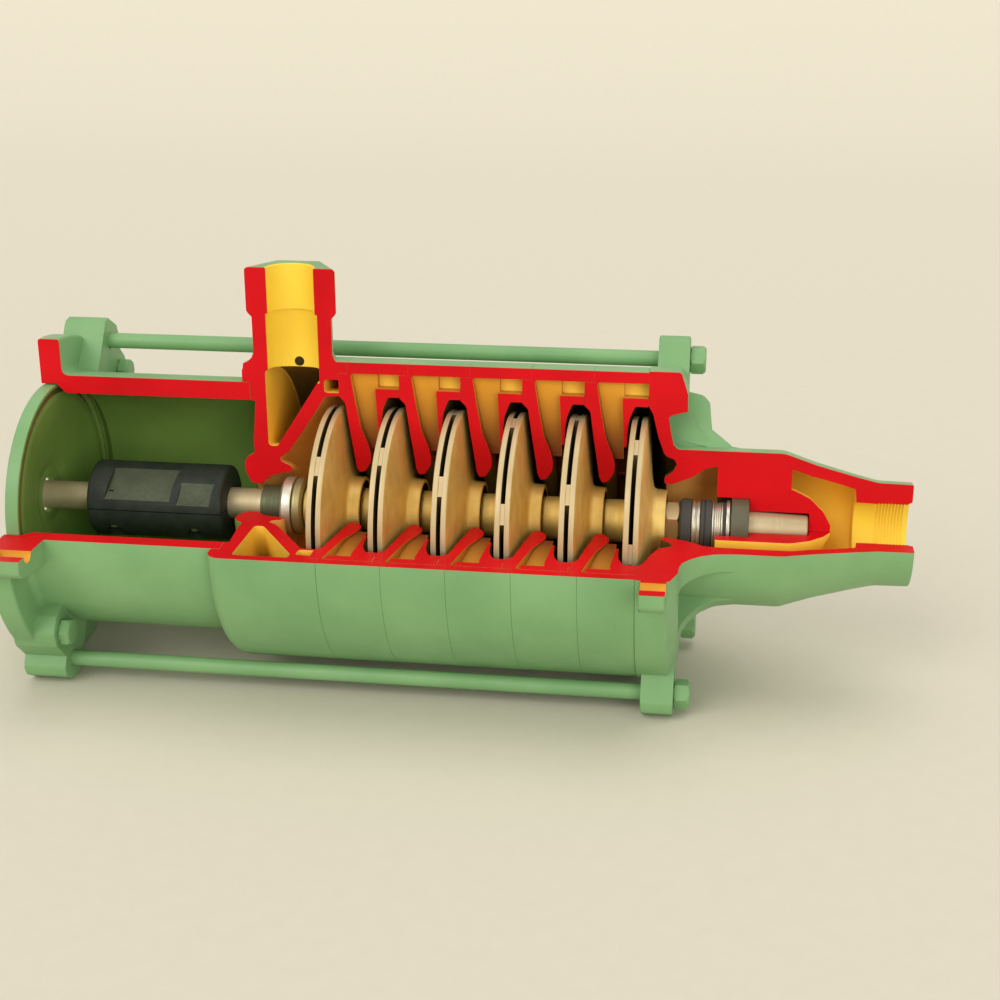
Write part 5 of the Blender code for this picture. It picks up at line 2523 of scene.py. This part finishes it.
@dataclass
class Studio:
    """The plain floor, the soft light and the camera of the photograph.

    Attributes:
        camera_place: The camera's place in metres.
        right: The picture's right.
        up: The picture's up.
        forward: The direction that the camera looks in.
        lens: Its focal length on a 36 mm sensor.
        floor_size: The length of the floor's side.
        level_depth: How far behind the origin the floor starts to rise.
        rise: How high it rises.
        sky: The linear colour of the light from all round.
        sky_strength: Its strength.
        lights: The soft lights.
    """

    camera_place: tuple[float, float, float] = (0.20065, -1.16993, 0.55789)
    right: tuple[float, float, float] = (0.98977, 0.14261, -0.00267)
    up: tuple[float, float, float] = (-0.04528, 0.33191, 0.94222)
    forward: tuple[float, float, float] = (-0.13526, 0.93247, -0.33498)
    lens: float = 60.01
    floor_size: float = 14.0
    level_depth: float = 3.0
    rise: float = 3.0
    sky: Colour = (1.0, 0.98, 0.94)
    sky_strength: float = 0.66
    lights: tuple[SoftLight, ...] = (
        SoftLight("key", (-0.9, -1.5, 1.3), 36.0, 1.08),
        SoftLight("front", (0.95, -1.7, 0.5), 30.0, 0.84),
        SoftLight("top", (0.2, 0.3, 1.8), 50.0, 0.75),
    )

    def lay_floor(self) -> None:
        """Lay the floor under the pump, rising far behind it."""
        half = 0.5 * self.floor_size
        builder = bmesh.new()
        steps = 12
        rows = []
        for step in range(steps + 1):
            share = step / steps
            y = -half + self.floor_size * share
            slope = max(0.0, (y - self.level_depth) / (half - self.level_depth))
            height = slope**2 * self.rise
            rows.append([builder.verts.new((x, y, height)) for x in (-half, half)])
        for near, far in zip(rows, rows[1:]):
            builder.faces.new((near[0], near[1], far[1], far[0]))
        mesh = bpy.data.meshes.new("floor")
        builder.to_mesh(mesh)
        builder.free()
        mesh.shade_smooth()
        mesh.materials.append(FLOOR.make())
        linked("floor", mesh)

    def place_camera(self) -> None:
        """Set the camera where the photograph was taken."""
        data = bpy.data.cameras.new("camera")
        data.lens = self.lens
        data.sensor_width = 36.0
        data.clip_end = 60.0
        camera = linked("camera", data)
        back = -Vector(self.forward)
        turn = Matrix((Vector(self.right), Vector(self.up), back)).transposed()
        camera.matrix_world = Matrix.Translation(self.camera_place) @ turn.to_4x4()
        bpy.context.scene.camera = camera

    def build(self) -> None:
        """Set up the floor, the light and the camera."""
        scene = bpy.context.scene
        world = bpy.data.worlds.new("studio")
        world.use_nodes = True
        sky = world.node_tree.nodes["Background"]
        sky.inputs["Color"].default_value = (*self.sky, 1.0)
        sky.inputs["Strength"].default_value = self.sky_strength
        scene.world = world
        scene.view_settings.view_transform = "Standard"
        self.lay_floor()
        self.place_camera()
        for light in self.lights:
            light.hang()


def main() -> None:
    """Build the studio and every sub-assembly in order."""
    logging.basicConfig(level=logging.INFO, format="%(message)s", stream=sys.stdout)
    Studio().build()
    pump = Assembly()
    builders: tuple[Callable[[Assembly], None], ...] = (
        Lantern().build,
        EndShield().build,
        DischargeCasing().build,
        StageRings().build,
        Diffusers().build,
        SuctionCasing().build,
        Bolts().build,
        Impellers().build,
        ShaftTrain().build,
        Coupling().build,
    )
    for build in builders:
        build(pump)
    LOG.info("%d pieces made", len(pump.names))


if __name__ == "__main__":
    main()
